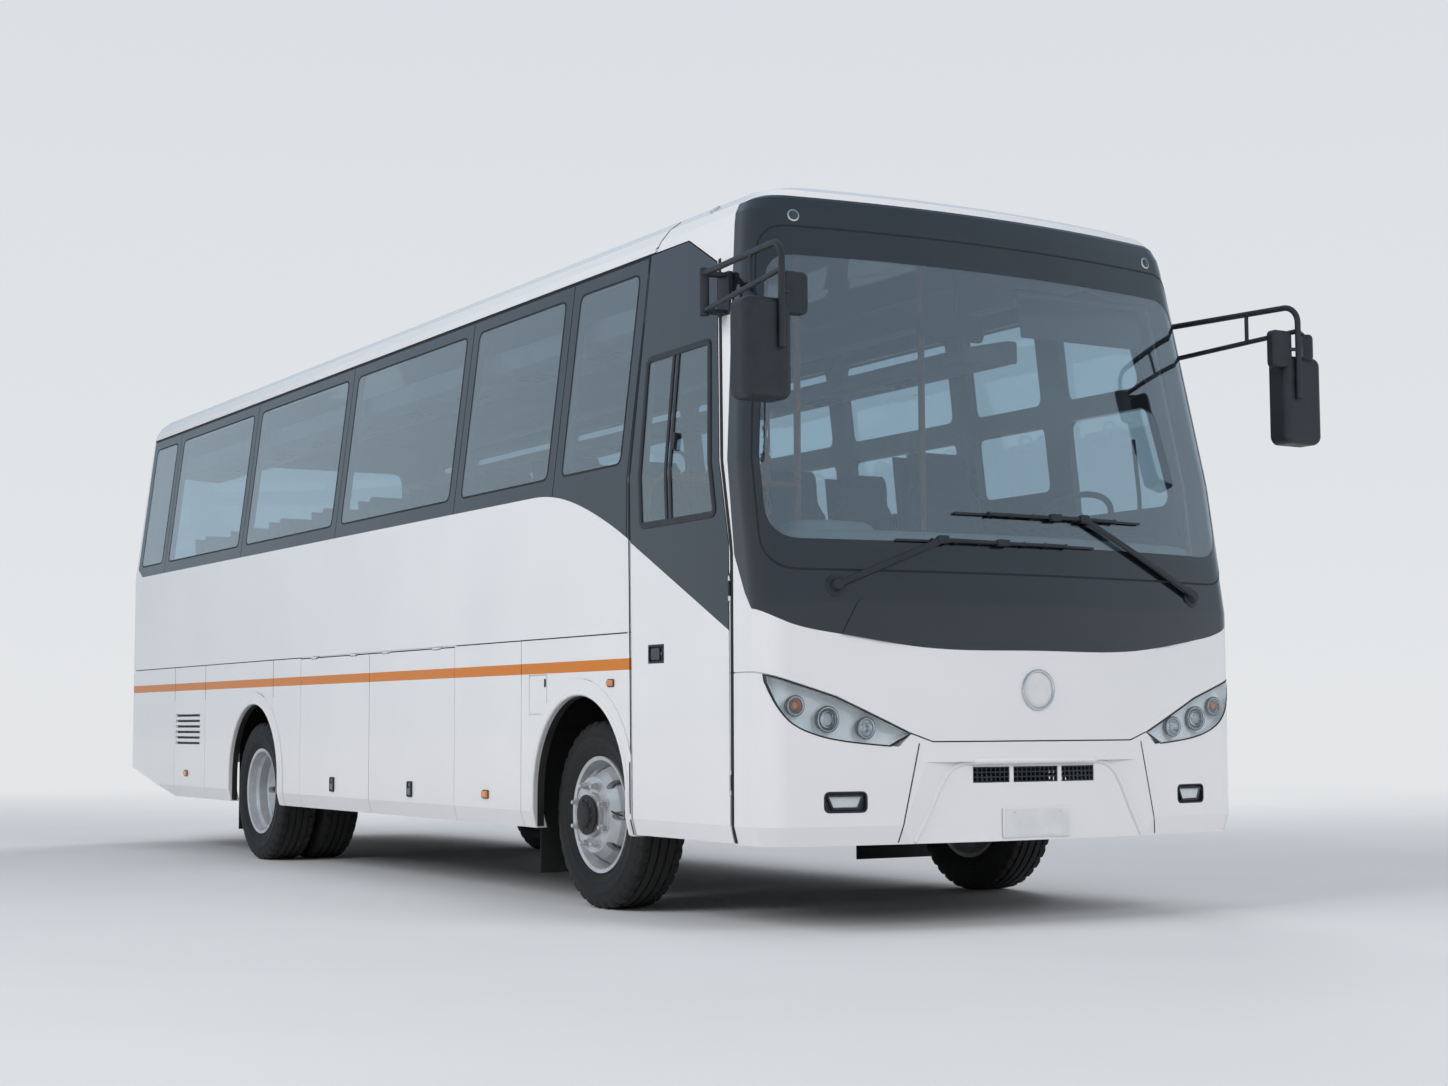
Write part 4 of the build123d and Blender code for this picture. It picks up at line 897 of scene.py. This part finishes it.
def tyre(bm, x, y):
    """Add one tyre about an axle across the coach."""
    centre = at(x, y, wheel_z)
    rings = []
    for k in range(tyre_steps):
        angle = 2 * math.pi * k / tyre_steps
        outward = Vector((math.cos(angle), 0, math.sin(angle)))
        notch = notch_depth if k % notch_every < notch_length else 0
        radii = [radius - (notch if radius > 395 and 66 < abs(width) < 112 else 0)
                 for radius, width in tyre_section]
        rings.append([bm.verts.new(centre + outward * (radius / 1000)
                                   + Vector((0, width / 1000, 0)))
                      for radius, (_, width) in zip(radii, tyre_section)])
    join_rings(bm, rings, closed=True)


wheel_places = {"front_left": (0, [1027]), "front_right": (0, [-1027]),
                "rear_left": (-4375, [1080, 808]), "rear_right": (-4375, [-1080, -808])}
for corner, (x, widths) in wheel_places.items():
    plural = "s" if len(widths) > 1 else ""
    rubber = bmesh.new()
    for y in widths:
        tyre(rubber, x, y)
    made = piece(rubber, f"{corner}_treaded_tyre{plural}", tyre_rubber,
                 body=f"{corner}_wheel{plural}", smooth=30)
    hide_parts(f"{corner}_tyre{plural}")

# %% [markdown]
# ## Wheel fittings
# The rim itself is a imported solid. What it lacks is small: threaded stud tips that stand out of
# the nuts, a greased cap on the hub with its own ring of bolts, and a valve bent out of the rim.

# %% Stud tips, hub caps and valves
# Body ending, outer face from the tyre's middle, cap profile and finish, bolts, their circle.
hubs = {
    "front": ("", 136, [(88, 30), (90, 37), (84, 40), (64, 40), (58, 42), (56, 50), (50, 55),
                        (20, 57), (0, 57)],
              chassis_paint, 10, 67, [(6, 40), (6, 46), (4.6, 47.5), (0, 47.5)]),
    "rear": ("s", -122, [(90, 36), (92, 44), (86, 50), (60, 52), (56, 70), (46, 78), (0, 80)],
             rim_paint, 12, 76, [(7, 50), (7, 57), (5.4, 58.6), (0, 58.6)]),
}
for corner, (x, widths) in wheel_places.items():
    plural, offset, cap, cap_coat, count, radius, bolt = hubs[corner.split("_")[0]]
    wheel = f"{corner}_wheel{plural}"
    sign = 1 if widths[0] > 0 else -1
    studs, caps, bolts = blanks(3)
    axle = facing(at(x, widths[0] + sign * offset, wheel_z), (0, sign, 0))
    for stud in around(axle, 8, 137.5, 0.5):
        turn(studs, [(10, 6), (10, 40), (8, 44), (0, 44)], stud, 14)
        turn(studs, [(19, 0.5), (21, 2), (19, 4.5), (14, 5)], stud, 20)
    turn(caps, cap, axle, 48)
    for place in around(axle, count, radius):
        turn(bolts, bolt, place, 6)
    stem = [axle @ Vector(p) for p in ((212, 0, -36), (210, 8, -12), (204, 16, 6), (196, 22, 14))]
    bent(bolts, stem, 4, circle(4))
    piece(studs, f"{corner}_stud_tips", rim_paint, body=wheel)
    piece(caps, f"{corner}_hub_cap", cap_coat, wheel, smooth=50)
    piece(bolts, f"{corner}_cap_bolts_and_valve", cast_iron, body=wheel)

# %% [markdown]
# ## Window frames and seals
# The side windows are bonded panes with a black rubber bead along each edge. The driver's side
# window and the passenger door's window are framed sliders, whose aluminium is anodised black.
# Each bead is one small section run round the pane's outline on the skin.

# %% Window beads and the passenger door's slider
seam_xs = [445, -275, -1395, -3045, -4685, -6315, -6945]
pane_ends = list(zip(seam_xs[:0:-1], seam_xs[-2::-1]))
wide_bead, thin_bead = crowned(9, -2, 0.8, 4, 2.6), crowned(5, -2, 0.7, 2, 1.6)
right_beads, left_beads = blanks(2)
for rear, fore in pane_ends:
    x0, x1 = rear + 75, fore - 75
    for side_beads, side, bead, z0, z1 in ((right_beads, "right", thin_bead, 1955, 2805),
                                           (left_beads, "left", wide_bead, 1955, 2280),
                                           (left_beads, "left", wide_bead, 2380, 2805)):
        trace(side_beads, side, rounded([(x0, z0), (x1, z0), (x1, z1), (x0, z1)], 45), bead)
piece(right_beads, "right_window_beads", seal_rubber)
piece(left_beads, "left_window_beads", seal_rubber)

# %% The door window's slider frame
slider = bmesh.new()
trace(slider, "right", rounded([(531, 2393), (1050, 2400), (1193, 1667), (576, 1665)], 28),
      crowned(14, -6, 3, 9, 6), spacing=30)
for top, low in (((760, 2396), (800, 1665)), ((800, 2396), (836, 1665))):
    trace(slider, "right", [top, low], flat(10, -6, 4), False, 60)
plate(slider, oblong(26, 74, 8), 0, 16, on_skin("right", 852, 2000))
piece(slider, "door_window_slider", black_abs, body="passenger_door", bevel=1)

# %% [markdown]
# ## Door seal, handle and latches
# A rubber lip closes the gap round the passenger door. It shows as the black line down the coach's
# corner. The handle is a black paddle in a moulded cup. The locker doors have square paddle
# latches, and the amber lamps mark the coach's length at night.

# %% Lip round the passenger door
lip = bmesh.new()
front_lip = [(1323, 352), (1323, 500), (1323, 1000), (1322, 1500), (1313, 1560), (1245, 1900),
             (1153, 2335), (1065, 2746)]
trace(lip, "right", front_lip, crowned(11, -3, 1, 6, 2.6), False, 40)
trace(lip, "right", [(490, 352), (442, 2862)], flat(5, -2, 1), False, 60)
piece(lip, "passenger_door_lip", seal_rubber)

# %% Handle, latches and side lamps
handle_cup, handle_paddle = blanks(2)
cup = on_skin("right", 704, 1116)
plate(handle_cup, oblong(136, 78, 10), 0.3, 2.5, cup)
edging(handle_cup, oblong(128, 70, 9), 8, cup, flat(4, -6, 6))
plate(handle_paddle, oblong(74, 50, 8, (-14, 0)), 3, 11, cup)
turn(handle_paddle, [(0, 12), (8, 12), (9, 10), (9, 3)], moved(cup, 42, 0), 24)
piece(handle_cup, "door_handle_cup", black_abs, body="passenger_door", bevel=0.8)
piece(handle_paddle, "door_handle_paddle", dark_enamel, body="passenger_door", bevel=1.5)

for side in ("right", "left"):
    for name, x in (("front", -1920), ("rear", -3035)):
        latch, key = blanks(2)
        base = on_skin(side, x, 489)
        plate(latch, oblong(64, 82, 8), -1, 4, base)
        edging(latch, oblong(56, 74, 7), 5, base, flat(3, -3, 3))
        plate(key, oblong(40, 34, 6, (0, -12)), 4, 9, base)
        turn(key, [(0, 7), (9, 7), (10, 5), (10, 3)], moved(base, 0, 22), 20)
        door = f"{side}_{name}_locker_door"
        piece(latch, f"{side}_{name}_latch", black_abs, body=door, bevel=0.8)
        piece(key, f"{side}_{name}_latch_paddle", seat_steel, body=door, bevel=1)
    lamp_bases, lamp_lenses = blanks(2)
    for x, z, width, height in ((302, 1001, 62, 34), (-986, 486, 70, 42), (-5732, 505, 70, 42)):
        base = on_skin(side, x, z)
        plate(lamp_bases, oblong(width, height, 8), -1, 4, base)
        edge, crown = oblong(width - 8, height - 8, 6), oblong(width - 20, height - 20, 4)
        stack(lamp_lenses, [(edge, 4), (edge, 9), (crown, 14)], base)
    piece(lamp_bases, f"{side}_side_lamp_bases", black_abs, bevel=0.8)
    piece(lamp_lenses, f"{side}_side_lamp_lenses", lens_amber, smooth=30)

# %% [markdown]
# ## Seats
# A coach seat is foam in a sewn moquette cover: a cushion with side bolsters and a tall back that
# ends in a headrest. Foam and cover press against each other, so the honest way is to let a small
# cloth simulation swell a slightly smaller block, and to pull the seams in afterwards. One cushion
# and one back are made, and every seat row shares their meshes.


# %% Swelling a pad
def pad_block(outline, half_width, name):
    """A block with a side outline in (x, z), carried across the seat, as a closed mesh."""
    bm = bmesh.new()
    edge = rounded(outline, 38, 4)
    join_rings(bm, [[bm.verts.new((x / 1000, y / 1000, z / 1000)) for x, z in edge]
                    for y in (14 - half_width, half_width - 14)])
    bmesh.ops.recalc_face_normals(bm, faces=bm.faces)
    mesh = bpy.data.meshes.new(name)
    bm.to_mesh(mesh)
    bm.free()
    return mesh


def evaluated(holder):
    """The mesh of an object with its modifiers worked out."""
    graph = bpy.context.evaluated_depsgraph_get()
    return bpy.data.meshes.new_from_object(holder.evaluated_get(graph))


def swell(mesh, voxel_mm, cap_mm, name):
    """Remesh a block evenly and let cloth under pressure round it, each point up to a cap."""
    holder = bpy.data.objects.new(name, mesh)
    scene.collection.objects.link(holder)
    even = holder.modifiers.new("even mesh", "REMESH")
    even.mode, even.voxel_size = "VOXEL", voxel_mm / 1000
    mesh = evaluated(holder)
    holder.modifiers.clear()
    holder.data = mesh
    rest = [corner.co.copy() for corner in mesh.vertices]
    cloth = holder.modifiers.new("cover", "CLOTH")
    cloth.settings.use_pressure, cloth.settings.uniform_pressure_force = True, 4
    cloth.settings.effector_weights.gravity = 0
    cloth.settings.tension_stiffness = cloth.settings.compression_stiffness = 12
    for moment in range(1, 21):
        scene.frame_set(moment)
    mesh = evaluated(holder)
    scene.frame_set(1)
    soft = bpy.data.meshes.new(name)
    soft.from_pydata([tuple(corner.co) for corner in mesh.vertices], [],
                     [tuple(face.vertices) for face in mesh.polygons])
    cap = cap_mm / 1000
    farthest = 0
    for corner, origin in zip(soft.vertices, rest):
        way = corner.co - origin
        if way.length > cap:
            corner.co = origin + way * (cap / way.length)
        farthest = max(farthest, (corner.co - origin).length)
    bpy.data.objects.remove(holder)
    print(name, "swelled by up to", round(farthest * 1000, 1), "mm,", len(soft.polygons), "faces")
    return soft


def sew(mesh, seams, depth_mm=7, width_mm=11):
    """Pull a cover in along its seams. Each seam gives a point's distance from it in mm."""
    for corner, way in zip(mesh.vertices, [each.normal.copy() for each in mesh.vertices]):
        pull = max(math.exp(-(seam(corner.co * 1000) / width_mm) ** 2) for seam in seams)
        corner.co -= way * (depth_mm / 1000 * pull)


# %% Cushions and backs
cushion_outline = [(-14, 322), (-14, 408), (-90, 420), (-430, 402), (-452, 322)]
back_outline = [(-452, 420), (-548, 900), (-556, 1040), (-590, 1104), (-640, 1090), (-618, 880),
                (-560, 420)]
bolster, far_away, neck_z = 70, 99, 880


def cushion_seams(half):
    """Side bolsters and three cross channels of a seat cushion."""
    inner = half - bolster
    return [lambda p: abs(abs(p.y) - inner) if p.z > 370 else far_away,
            *[lambda p, x=x: abs(p.x - x) if p.z > 370 and abs(p.y) < inner else far_away
              for x in (-110, -210, -310)]]


def back_seams(half):
    """Side bolsters, cross channels and the headrest seam of a seat back."""
    inner = half - bolster
    return [lambda p: abs(abs(p.y) - inner) if p.z < neck_z - 10 else far_away,
            *[lambda p, z=z: abs(p.z - z) if abs(p.y) < inner or z == neck_z else far_away
              for z in (520, 610, 700, 790, neck_z)]]


def shape_headrest(mesh):
    """Narrow a seat back over its shoulders, so that a headrest stands out of it."""
    for corner in mesh.vertices:
        rise = min(1.0, max(0.0, (corner.co.z * 1000 - 850) / 90))
        corner.co.y *= 1 - 0.3 * rise * rise * (3 - 2 * rise)
        corner.co.x += 0.012 * rise


voxel_mm, cap_mm = 15, 14
seat_meshes = {}
for kind, half in (("passenger", 214), ("driver", 250)):
    seat_meshes[kind] = {}
    for part, outline, seams in (("cushion", cushion_outline, cushion_seams(half)),
                                 ("back", back_outline, back_seams(half))):
        block = pad_block(outline, half, f"{kind}_{part}_block")
        cover = swell(block, voxel_mm, cap_mm, f"{kind}_{part}_cover")
        sew(cover, seams)
        if part == "back":
            shape_headrest(cover)
        cover.materials.append(seat_cloth)
        cover.shade_smooth()
        seat_meshes[kind][part] = cover

# %% Every seat in its place
floor_z, row_pitch, rows, aisle_half, seat_width = 1050, 760, 8, 190, 440
driver_spot = (760, 640, 1, 0)
seat_spots = [(-210 - row_pitch * row,
               side * (aisle_half + seat_width * (place + 0.5) + 8 * place), side, place)
              for row in range(rows) for side in (-1, 1) for place in (0, 1)]
for kind, spots, node in (("passenger", seat_spots, "passenger_seats"),
                          ("driver", [driver_spot], "driver_seat")):
    made = []
    for number, (x, y, _, _) in enumerate(spots, 1):
        for part, mesh in seat_meshes[kind].items():
            pad = bpy.data.objects.new(f"{kind}_{part}_{number:02d}", mesh)
            pad.location = at(x, y, floor_z)
            scene.collection.objects.link(pad)
            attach(pad, "body")
            made.append(pad)
    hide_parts(node)
print("seats:", len(seat_spots) + 1)

# %% [markdown]
# ## Seat shells, armrests and handles
# Behind the foam each seat has a moulded shell, and the aisle seats carry a folding armrest and a
# grab handle on the shoulder. They are rigid, so plates and bent tubes do.

# %% Hard parts of the seats
shells, arms, handles = blanks(3)
for x, y, side, place in seat_spots + [driver_spot]:
    passenger = x < 0
    origin = at(x, y, floor_z)
    half = 196 if passenger else 230
    back_line = [origin + Vector((a, 0, b)) / 1000 for a, b in (
        (-556, 400), (-566, 500), (-600, 700), (-630, 900), (-652, 1060))]
    bent(shells, back_line, 3, [(-half, -4), (half, -4), (half - 6, 5), (6 - half, 5)],
         (-1, 0, 0.2))
    if passenger and place == 0:
        hand = -side * 205
        arm = ((-520, hand, 640), (-420, hand, 648), (-220, hand, 640))
        bent(arms, [origin + Vector(point) / 1000 for point in arm], 4,
             oblong(40, 30, 12, steps=3))
        grip = ((-600, hand * 0.55, 1096), (-612, hand * 0.62, 1140), (-616, hand * 0.85, 1146),
                (-606, hand, 1110), (-594, hand, 1010))
        bent(handles, [origin + Vector(point) / 1000 for point in grip], 5, circle(9), (1, 0, 0))
piece(shells, "seat_shells", black_abs, bevel=1)
piece(arms, "seat_armrests", black_abs)
piece(handles, "seat_grab_handles", rail_coat)

# %% [markdown]
# ## The driver's place
# The dashboard's slab is packed. On it sit a padded top that follows the windscreen, a hooded
# instrument binnacle and a rounded box by the door, all soft-touch mouldings. The wheel gets a
# grip, a horn pad and stalks. Each moulding is a stack of outlines that shrink as they rise,
# which is how a draft angle makes such parts look.


# %% Dashboard mouldings
def dome(width, depth, height, corner, crown=0.45):
    """Outlines of a soft box: upright below, closing quickly near its top."""
    levels = [(0, 1.0), (0.4, 0.985), (0.68, 0.955), (0.86, 0.88), (0.95, 0.76), (1.0, crown)]
    return [(oblong(width * share, depth * share, corner * share), height * rise)
            for rise, share in levels]


def level_frame(x, y, z):
    """A frame in millimetres that stands upright at a place on the coach."""
    return Matrix.Translation(at(x, y, z)) @ Matrix.Scale(0.001, 4)


def pad_outline(inset):
    """The dashboard pad in plan, its front edge a hand's breadth behind the curved glass."""
    share = 1 - inset / 1100
    ys = range(-1060, 1061, 106)
    front_edge = [(1628 - inset - y * y / 10000 - (40 if abs(y) > 1000 else 0), y * share)
                  for y in ys]
    return front_edge + [(1395 + inset, y * share) for y in reversed(ys)]


dash_z = 1490
binnacle, dash_pad, dials, needles = blanks(4)
stack(binnacle, dome(150, 520, 150, 70), level_frame(1455, 640, dash_z))
stack(dash_pad, dome(240, 420, 150, 110, 0.3), level_frame(1400, -830, dash_z))
stack(dash_pad, [(pad_outline(inset), height) for inset, height in (
    (0, 0), (0, 60), (6, 84), (20, 100), (48, 108))], level_frame(0, 0, dash_z))
board = facing(at(1394, 640, 1560), (-1, 0, 0.25))
for x in (-150, -50, 60, 160):
    turn(dials, [(46, -2), (46, 5), (41, 6), (39, 2), (0, 2)], moved(board, x, 0), 32)
    plate(needles, [(-3, -8), (3, -8), (1, 30), (-1, 30)], 2.4, 4, moved(board, x, 0))
piece(binnacle, "instrument_binnacle", black_abs, smooth=50)
piece(dash_pad, "dash_pad", dash_plastic, smooth=60)
piece(dials, "dials", gloss_black)
piece(needles, "dial_needles", plate_metal)

# %% The steering wheel's fittings
horn_pad, stalks, lacing = blanks(3)
wheel_frame = facing(at(1120, 640, 1690), (-0.62, 0, 0.78))
stack(horn_pad, dome(150, 130, 34, 40), moved(wheel_frame, 0, 0, 12))
for sign in (-1, 1):
    stalk = ((sign * 40, 0, -60), (sign * 120, 14, -56), (sign * 190, 22, -50))
    bent(stalks, [wheel_frame @ Vector(point) for point in stalk], 4, circle(9))
knots = 60
for k, centre in enumerate(around(wheel_frame, knots, 225)):
    turn_round = Matrix.Rotation(2 * math.pi * k / knots, 4, "Z")
    across = turn_round @ Matrix.Rotation(math.pi / 2, 4, "X")
    turn(lacing, [(10, -14.6), (13, -8), (14.8, 0), (13, 8), (10, 14.6)],
         centre @ across @ Matrix.Scale(0.9, 4), 12)
piece(horn_pad, "horn_pad", black_abs, smooth=50)
piece(stalks, "column_stalks", black_abs)
piece(lacing, "wheel_grip_lacing", seal_rubber, smooth=60)

# %% [markdown]
# ## Overhead fittings
# Luggage racks run along both sides of the roof. Over the windscreen hang the inside mirror and a
# roller blind for the driver. The racks are one moulded section carried along the cabin.

# %% Racks, inside mirror and blind
racks, vents, inner_mirror, inner_glass, blind = blanks(5)
rack_section = rounded([(0, 0), (330, -20), (345, 30), (300, 60), (60, 110), (0, 110)], 16, 3)
for sign in (-1, 1):
    lengthwise = Matrix(((0, 0, 1, 0), (-sign, 0, 0, 0), (0, 1, 0, 0), (0, 0, 0, 1)))
    place = Matrix.Translation(at(-6700, sign * 1040, 2590)) @ lengthwise @ Matrix.Scale(0.001, 4)
    plate(racks, rack_section, 0, 7000, place)
    for row in range(rows):
        spot = level_frame(-420 - row_pitch * row, sign * 870, 2580)
        plate(vents, oblong(230, 110, 16), -12, 1, spot)
        for shift in (-60, 60):
            turn(vents, [(26, -12), (26, -19), (18, -21), (15, -16), (0, -14)],
                 moved(spot, shift, 0), 20)
head = facing(at(1085, 40, 2560), (-1, 0, -0.25))
stack(inner_mirror, [(oblong(330, 120, 34), -16), (oblong(344, 132, 40), -4),
                     (oblong(340, 128, 38), 2)], head)
plate(inner_glass, oblong(322, 112, 30), 2.2, 3.4, head)
bent(inner_mirror, [at(1085, 40, 2560), at(1120, 40, 2640), at(1130, 40, 2800)], 4, circle(7),
     (1, 0, 0))
bent(blind, [at(1268, 250, 2700), at(1268, 560, 2700), at(1262, 1000, 2700)], 6, circle(22, 20))
plate(blind, oblong(700, 190, 6), -2, 2, facing(at(1262, 630, 2600), (1, 0, 0.17)))
piece(racks, "luggage_racks", dash_plastic, bevel=3)
piece(vents, "reading_lamp_panels", black_abs, bevel=1)
piece(inner_mirror, "inside_mirror_case", black_abs, smooth=50)
piece(inner_glass, "inside_mirror_glass", mirror_silver)
piece(blind, "driver_roller_blind", dark_enamel)

# %% [markdown]
# ## The tail
# Each tail lamp is a column of round lamps behind one clear cover. The engine lid has a louvred
# field for the radiator's air and a lock, and a blank plate hangs under it. The rear window has
# the same bead as the left windows, and a third brake lamp over it.

# %% Tail lamps
columns, tail_covers, tail_seals, ambers, whites, reds = blanks(6)
column_y, column_z = 1007.5, 1150
for sign in (-1, 1):
    mouth = mirrored(oblong(155, 660, 40, (column_y, column_z)), sign)
    snug = mirrored(oblong(149, 654, 38, (column_y, column_z)), sign)
    sheet_on(tail_covers, snug, 50, "tail", -1, -4)
    sheet_on(columns, snug, 60, "tail", -26, -29)
    trace(tail_seals, "tail", mouth, small_bead, spacing=20)
    for z, lens in ((1400, reds), (1270, reds), (1140, ambers), (1010, whites), (890, reds)):
        place, normal = landing("tail", sign * column_y, z)
        lamp = facing(place - normal * 0.022, normal)
        turn(columns, [(58, -4), (58, 4), (54, 10), (50, 4), (46, -3)], lamp)
        turn(lens, [(48, -2), (48, 3), (40, 9), (26, 13), (0, 15)], lamp)
tail_cover = piece(tail_covers, "tail_lamp_covers", lens_clear, smooth=60)
# Near-white tail lamp bowls: a painted reflection of the sky.
piece(columns, "tail_lamp_bowls", painted_reflection_bowl, smooth=50)
piece(reds, "tail_red_lamps", red_acrylic, smooth=60)
piece(ambers, "tail_amber_lamps", lens_amber, smooth=60)
piece(whites, "tail_reversing_lamps", plate_metal, smooth=60)
piece(tail_seals, "tail_lamp_seals", seal_rubber)
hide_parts("tail_lamps")

# %% Rear window bead, brake lamp, engine lid fittings and plate
rear_beads, slats, lid_lock, rear_plate, reflectors, plate_lamp = blanks(6)
trace(rear_beads, "tail", rounded([(-930, 1960), (930, 1960), (870, 2770), (-870, 2770)], 90),
      wide_bead, spacing=40)
sheet_on(reflectors, oblong(420, 34, 14, (0, 2822)), 60, "tail", 8, -2)
for sign in (-1, 1):
    sheet_on(reflectors, mirrored(oblong(120, 44, 8, (880, 640)), sign), 60, "tail", 4, -1)
for z in range(1245, 939, -34):
    trace(slats, "tail", [(-620, z), (620, z)],
          [(-13, 0), (-9, 7), (9, 2), (13, 0), (9, -1), (-9, -1)], False, 62)
for y in (-640, -213, 213, 640):
    trace(slats, "tail", [(y, 960), (y, 1270)], [(-9, 0), (-9, 8), (9, 8), (9, 0)], False, 31)
lock = on_skin("tail", 0, 800)
turn(lid_lock, [(30, -1), (32, 4), (28, 7), (12, 7), (11, 4), (0, 4)], lock, 32)
plate(lid_lock, oblong(18, 46, 6), 4, 14, lock)
plate_at = on_skin("tail", 0, 650)
plate(rear_plate, oblong(440, 120, 10), 0, 5, plate_at)
plate(plate_lamp, oblong(120, 26, 8, (0, 78)), 0, 22, plate_at)
piece(rear_beads, "rear_window_bead", seal_rubber)
piece(reflectors, "brake_lamp_and_reflectors", red_acrylic, smooth=50)
piece(slats, "engine_lid_slats", black_abs, body="engine_lid", bevel=0.6)
piece(lid_lock, "engine_lid_lock", black_abs, body="engine_lid", bevel=0.8)
piece(rear_plate, "rear_plate_blank", plate_metal, bevel=1.2)
piece(plate_lamp, "rear_plate_lamp", black_abs, bevel=1.5)

# %% [markdown]
# ## Seams and small things on the body
# Painted panels meet in sealed joints, which show as thin dark lines. The roof's cap joint, the
# louvre's slots and the fuel flap's catch are drawn the same way as the beads, as thin strips on
# the skin. The black strips in the louvre's slots are painted shade, for the shadow between its
# blades.

# %% Roof joint, bumper joints, waist joint, window seams, painted louvre shade and flap catch
joint_and_shade_strips = bmesh.new()
seam = flat(2.5, -1, 0.9)
waist_z, gutter_z, louvre_z, louvre_field, louvre_rows = 1215, 2872, 687, 220, 6
# Heights of the black louvre strips, which are painted shade between the louvre's blades.
louvre_shade_zs = [louvre_z + louvre_field * (row + 0.5) / louvre_rows for row in range(louvre_rows)]
lines = [("right", [(1325, 357), (1323, 1000), (1318, 1536)], flat(8, -1, 1), 25),
         ("nose", [(-614, 782), (-516, 748), (516, 748), (614, 782)], seam, 25)]
for sign, side in ((-1, "right"), (1, "left")):
    lines += [(side, [(503, 2892), (560, 2968), (590, 3006)], seam, 15),
              ("nose", mirrored([(578, 742), (590, 690), (668, 352)], sign), seam, 25),
              (side, [(-6946, waist_z), (-3572, waist_z)], seam, 60),
              (side, [(-1353, waist_z), (440, waist_z)], seam, 60),
              (side, [(-6944, gutter_z), (438, gutter_z)], flat(6, -1, 1.2), 60),
              *[(side, [(x, 1892), (x, 2866)], seam, 60) for x in seam_xs[1:-1]],
              # Black strips in the louvre's slots: painted shade between its blades.
              *[(side, [(-5966, z), (-5467, z)], flat(7, -1, 1), 60) for z in louvre_shade_zs]]
for face, points, section, spacing in lines:
    trace(joint_and_shade_strips, face, points, section, False, spacing)
plate(joint_and_shade_strips, rounded([(-7, -22), (7, -14), (7, 16), (-7, 22)], 4), -0.5, 3,
      on_skin("right", -342, 1012))
piece(joint_and_shade_strips, "panel_joints_and_louvre_shade", seal_rubber)

# %% Wheel arch lips and the rim of the bumper's recess
lips, recess_rim, undercoat, band_corners = blanks(4)
sill_z, arch_z, arch_radius, reveal_radius, reveal_y = 352, 500, 462, 449, 1204
lip_section = [(-12, -3), (-11, 3), (-6, 7), (0, 8), (7, 6), (12, 2), (13, -3)]
bow = [(math.cos(math.radians(a)), math.sin(math.radians(a))) for a in range(0, 181, 6)]
for sign, side in ((-1, "right"), (1, "left")):
    for x in (0, -4375):
        arch, reveal = ([(x + radius, sill_z), *((x + radius * a, arch_z + radius * b)
                                                 for a, b in bow), (x - radius, sill_z)]
                        for radius in (arch_radius, reveal_radius))
        trace(lips, side, arch, lip_section, False, 40)
        inward = [Vector((-a, 0, -b)) for a, b in [(1, 0), *bow, (-1, 0)]]
        strip(undercoat, [at(a, sign * reveal_y, b) for a, b in reveal], inward, flat(17, 0, 0.8))
    sheet_on(band_corners, [(-6949, 1876), (-6816, 1876), (-6949, 1942)][::-sign], 200, side,
             0.8, -0.5)
half_rim = [tuple(point) for point in flowing([(-590, sill_z), (-528, 460), (-470, 570),
                                               (-420, 634), (-352, 662), (-250, 668)], 5)]
trace(recess_rim, "nose", half_rim + mirrored(half_rim[::-1], -1),
      [(-12, -2), (-9, 3), (-2, 6), (4, 5), (11, 1), (12, -2)], False)
piece(lips, "wheel_arch_lips", white_enamel, smooth=60)
piece(undercoat, "wheel_arch_undercoat", chassis_paint, smooth=50)
piece(band_corners, "window_band_corners", white_enamel)
piece(recess_rim, "bumper_recess_rim", white_enamel, smooth=60)

# %% Mullions of the left sliding windows
mullions = bmesh.new()
mullion_section = crowned(13, -3, 2, 9, 5)
for rear, fore in pane_ends[1:-1]:
    middle = (rear + fore) / 2
    trace(mullions, "left", [(middle, 1965), (middle, 2270)], mullion_section, False)
    trace(mullions, "left", [(middle + 90, 2040), (middle + 90, 2120)],
          [(-7, 0), (7, 0), (5, 9), (-5, 9)], False)
trace(mullions, "left", [(955, 1640), (955, 2150)], mullion_section, False)
piece(mullions, "left_window_mullions", seal_rubber)

# %% [markdown]
# ## Under the floor
# Low views show the tank, the axles and pipes. The tank hangs in two steel straps, brake chambers
# sit on the axles, and one long air pipe runs along each rail.

# %% Straps, brake chambers, air pipes and exhaust
straps, chambers, pipes, exhaust = blanks(4)
tank_edge = rounded([(-1120, 400), (-510, 400), (-510, 816), (-1120, 816)], 60, 5)
for x in (-1180, -750):
    path = [at(x, y, z) for y, z in tank_edge]
    outward = [(point - at(x, -815, 610)).normalized() for point in path]
    strip(straps, path, outward, flat(22, -1, 4), closed=True)
    turn(straps, [(10, 0), (10, 14), (7, 16), (0, 16)],
         facing(at(x, -815, 396), (0, 0, -1), (1, 0, 0)), 6)
for x, reach in ((0, 560), (-4375, 600)):
    for sign in (-1, 1):
        y = sign * reach
        turn(chambers, [(0, -60), (40, -58), (66, -50), (70, -8), (76, -6), (76, 6), (70, 8),
                        (66, 52), (40, 66), (0, 68)], facing(at(x - 190, y, 500), (-1, 0, 0.15)))
        bent(pipes, [at(x - 110, y, 500), at(x - 60, y, 480), at(x - 62, y, 445)], 4, circle(8),
             (0, 1, 0))
for sign in (-1, 1):
    bent(pipes, [at(1380 - 400 * k, sign * (430 + (8 if k % 2 else -8)), 596) for k in range(17)],
         3, circle(9))
run = [at(-5750, 250, 470), at(-6100, 380, 420), at(-6600, 560, 410), at(-6900, 620, 430),
       at(-7090, 640, 450)]
line = bent(exhaust, run, 6, circle(38, 24))
for k in (6, 14, 20):
    turn(exhaust, [(38, -14), (44, -12), (44, 12), (38, 14)],
         facing(line[k], line[k + 1] - line[k]), 28)
piece(straps, "tank_straps", locker_sheet)
piece(chambers, "brake_chambers", chassis_paint, smooth=50)
piece(pipes, "air_pipes", black_abs, smooth=60)
piece(exhaust, "exhaust_pipe", cast_iron, smooth=50)
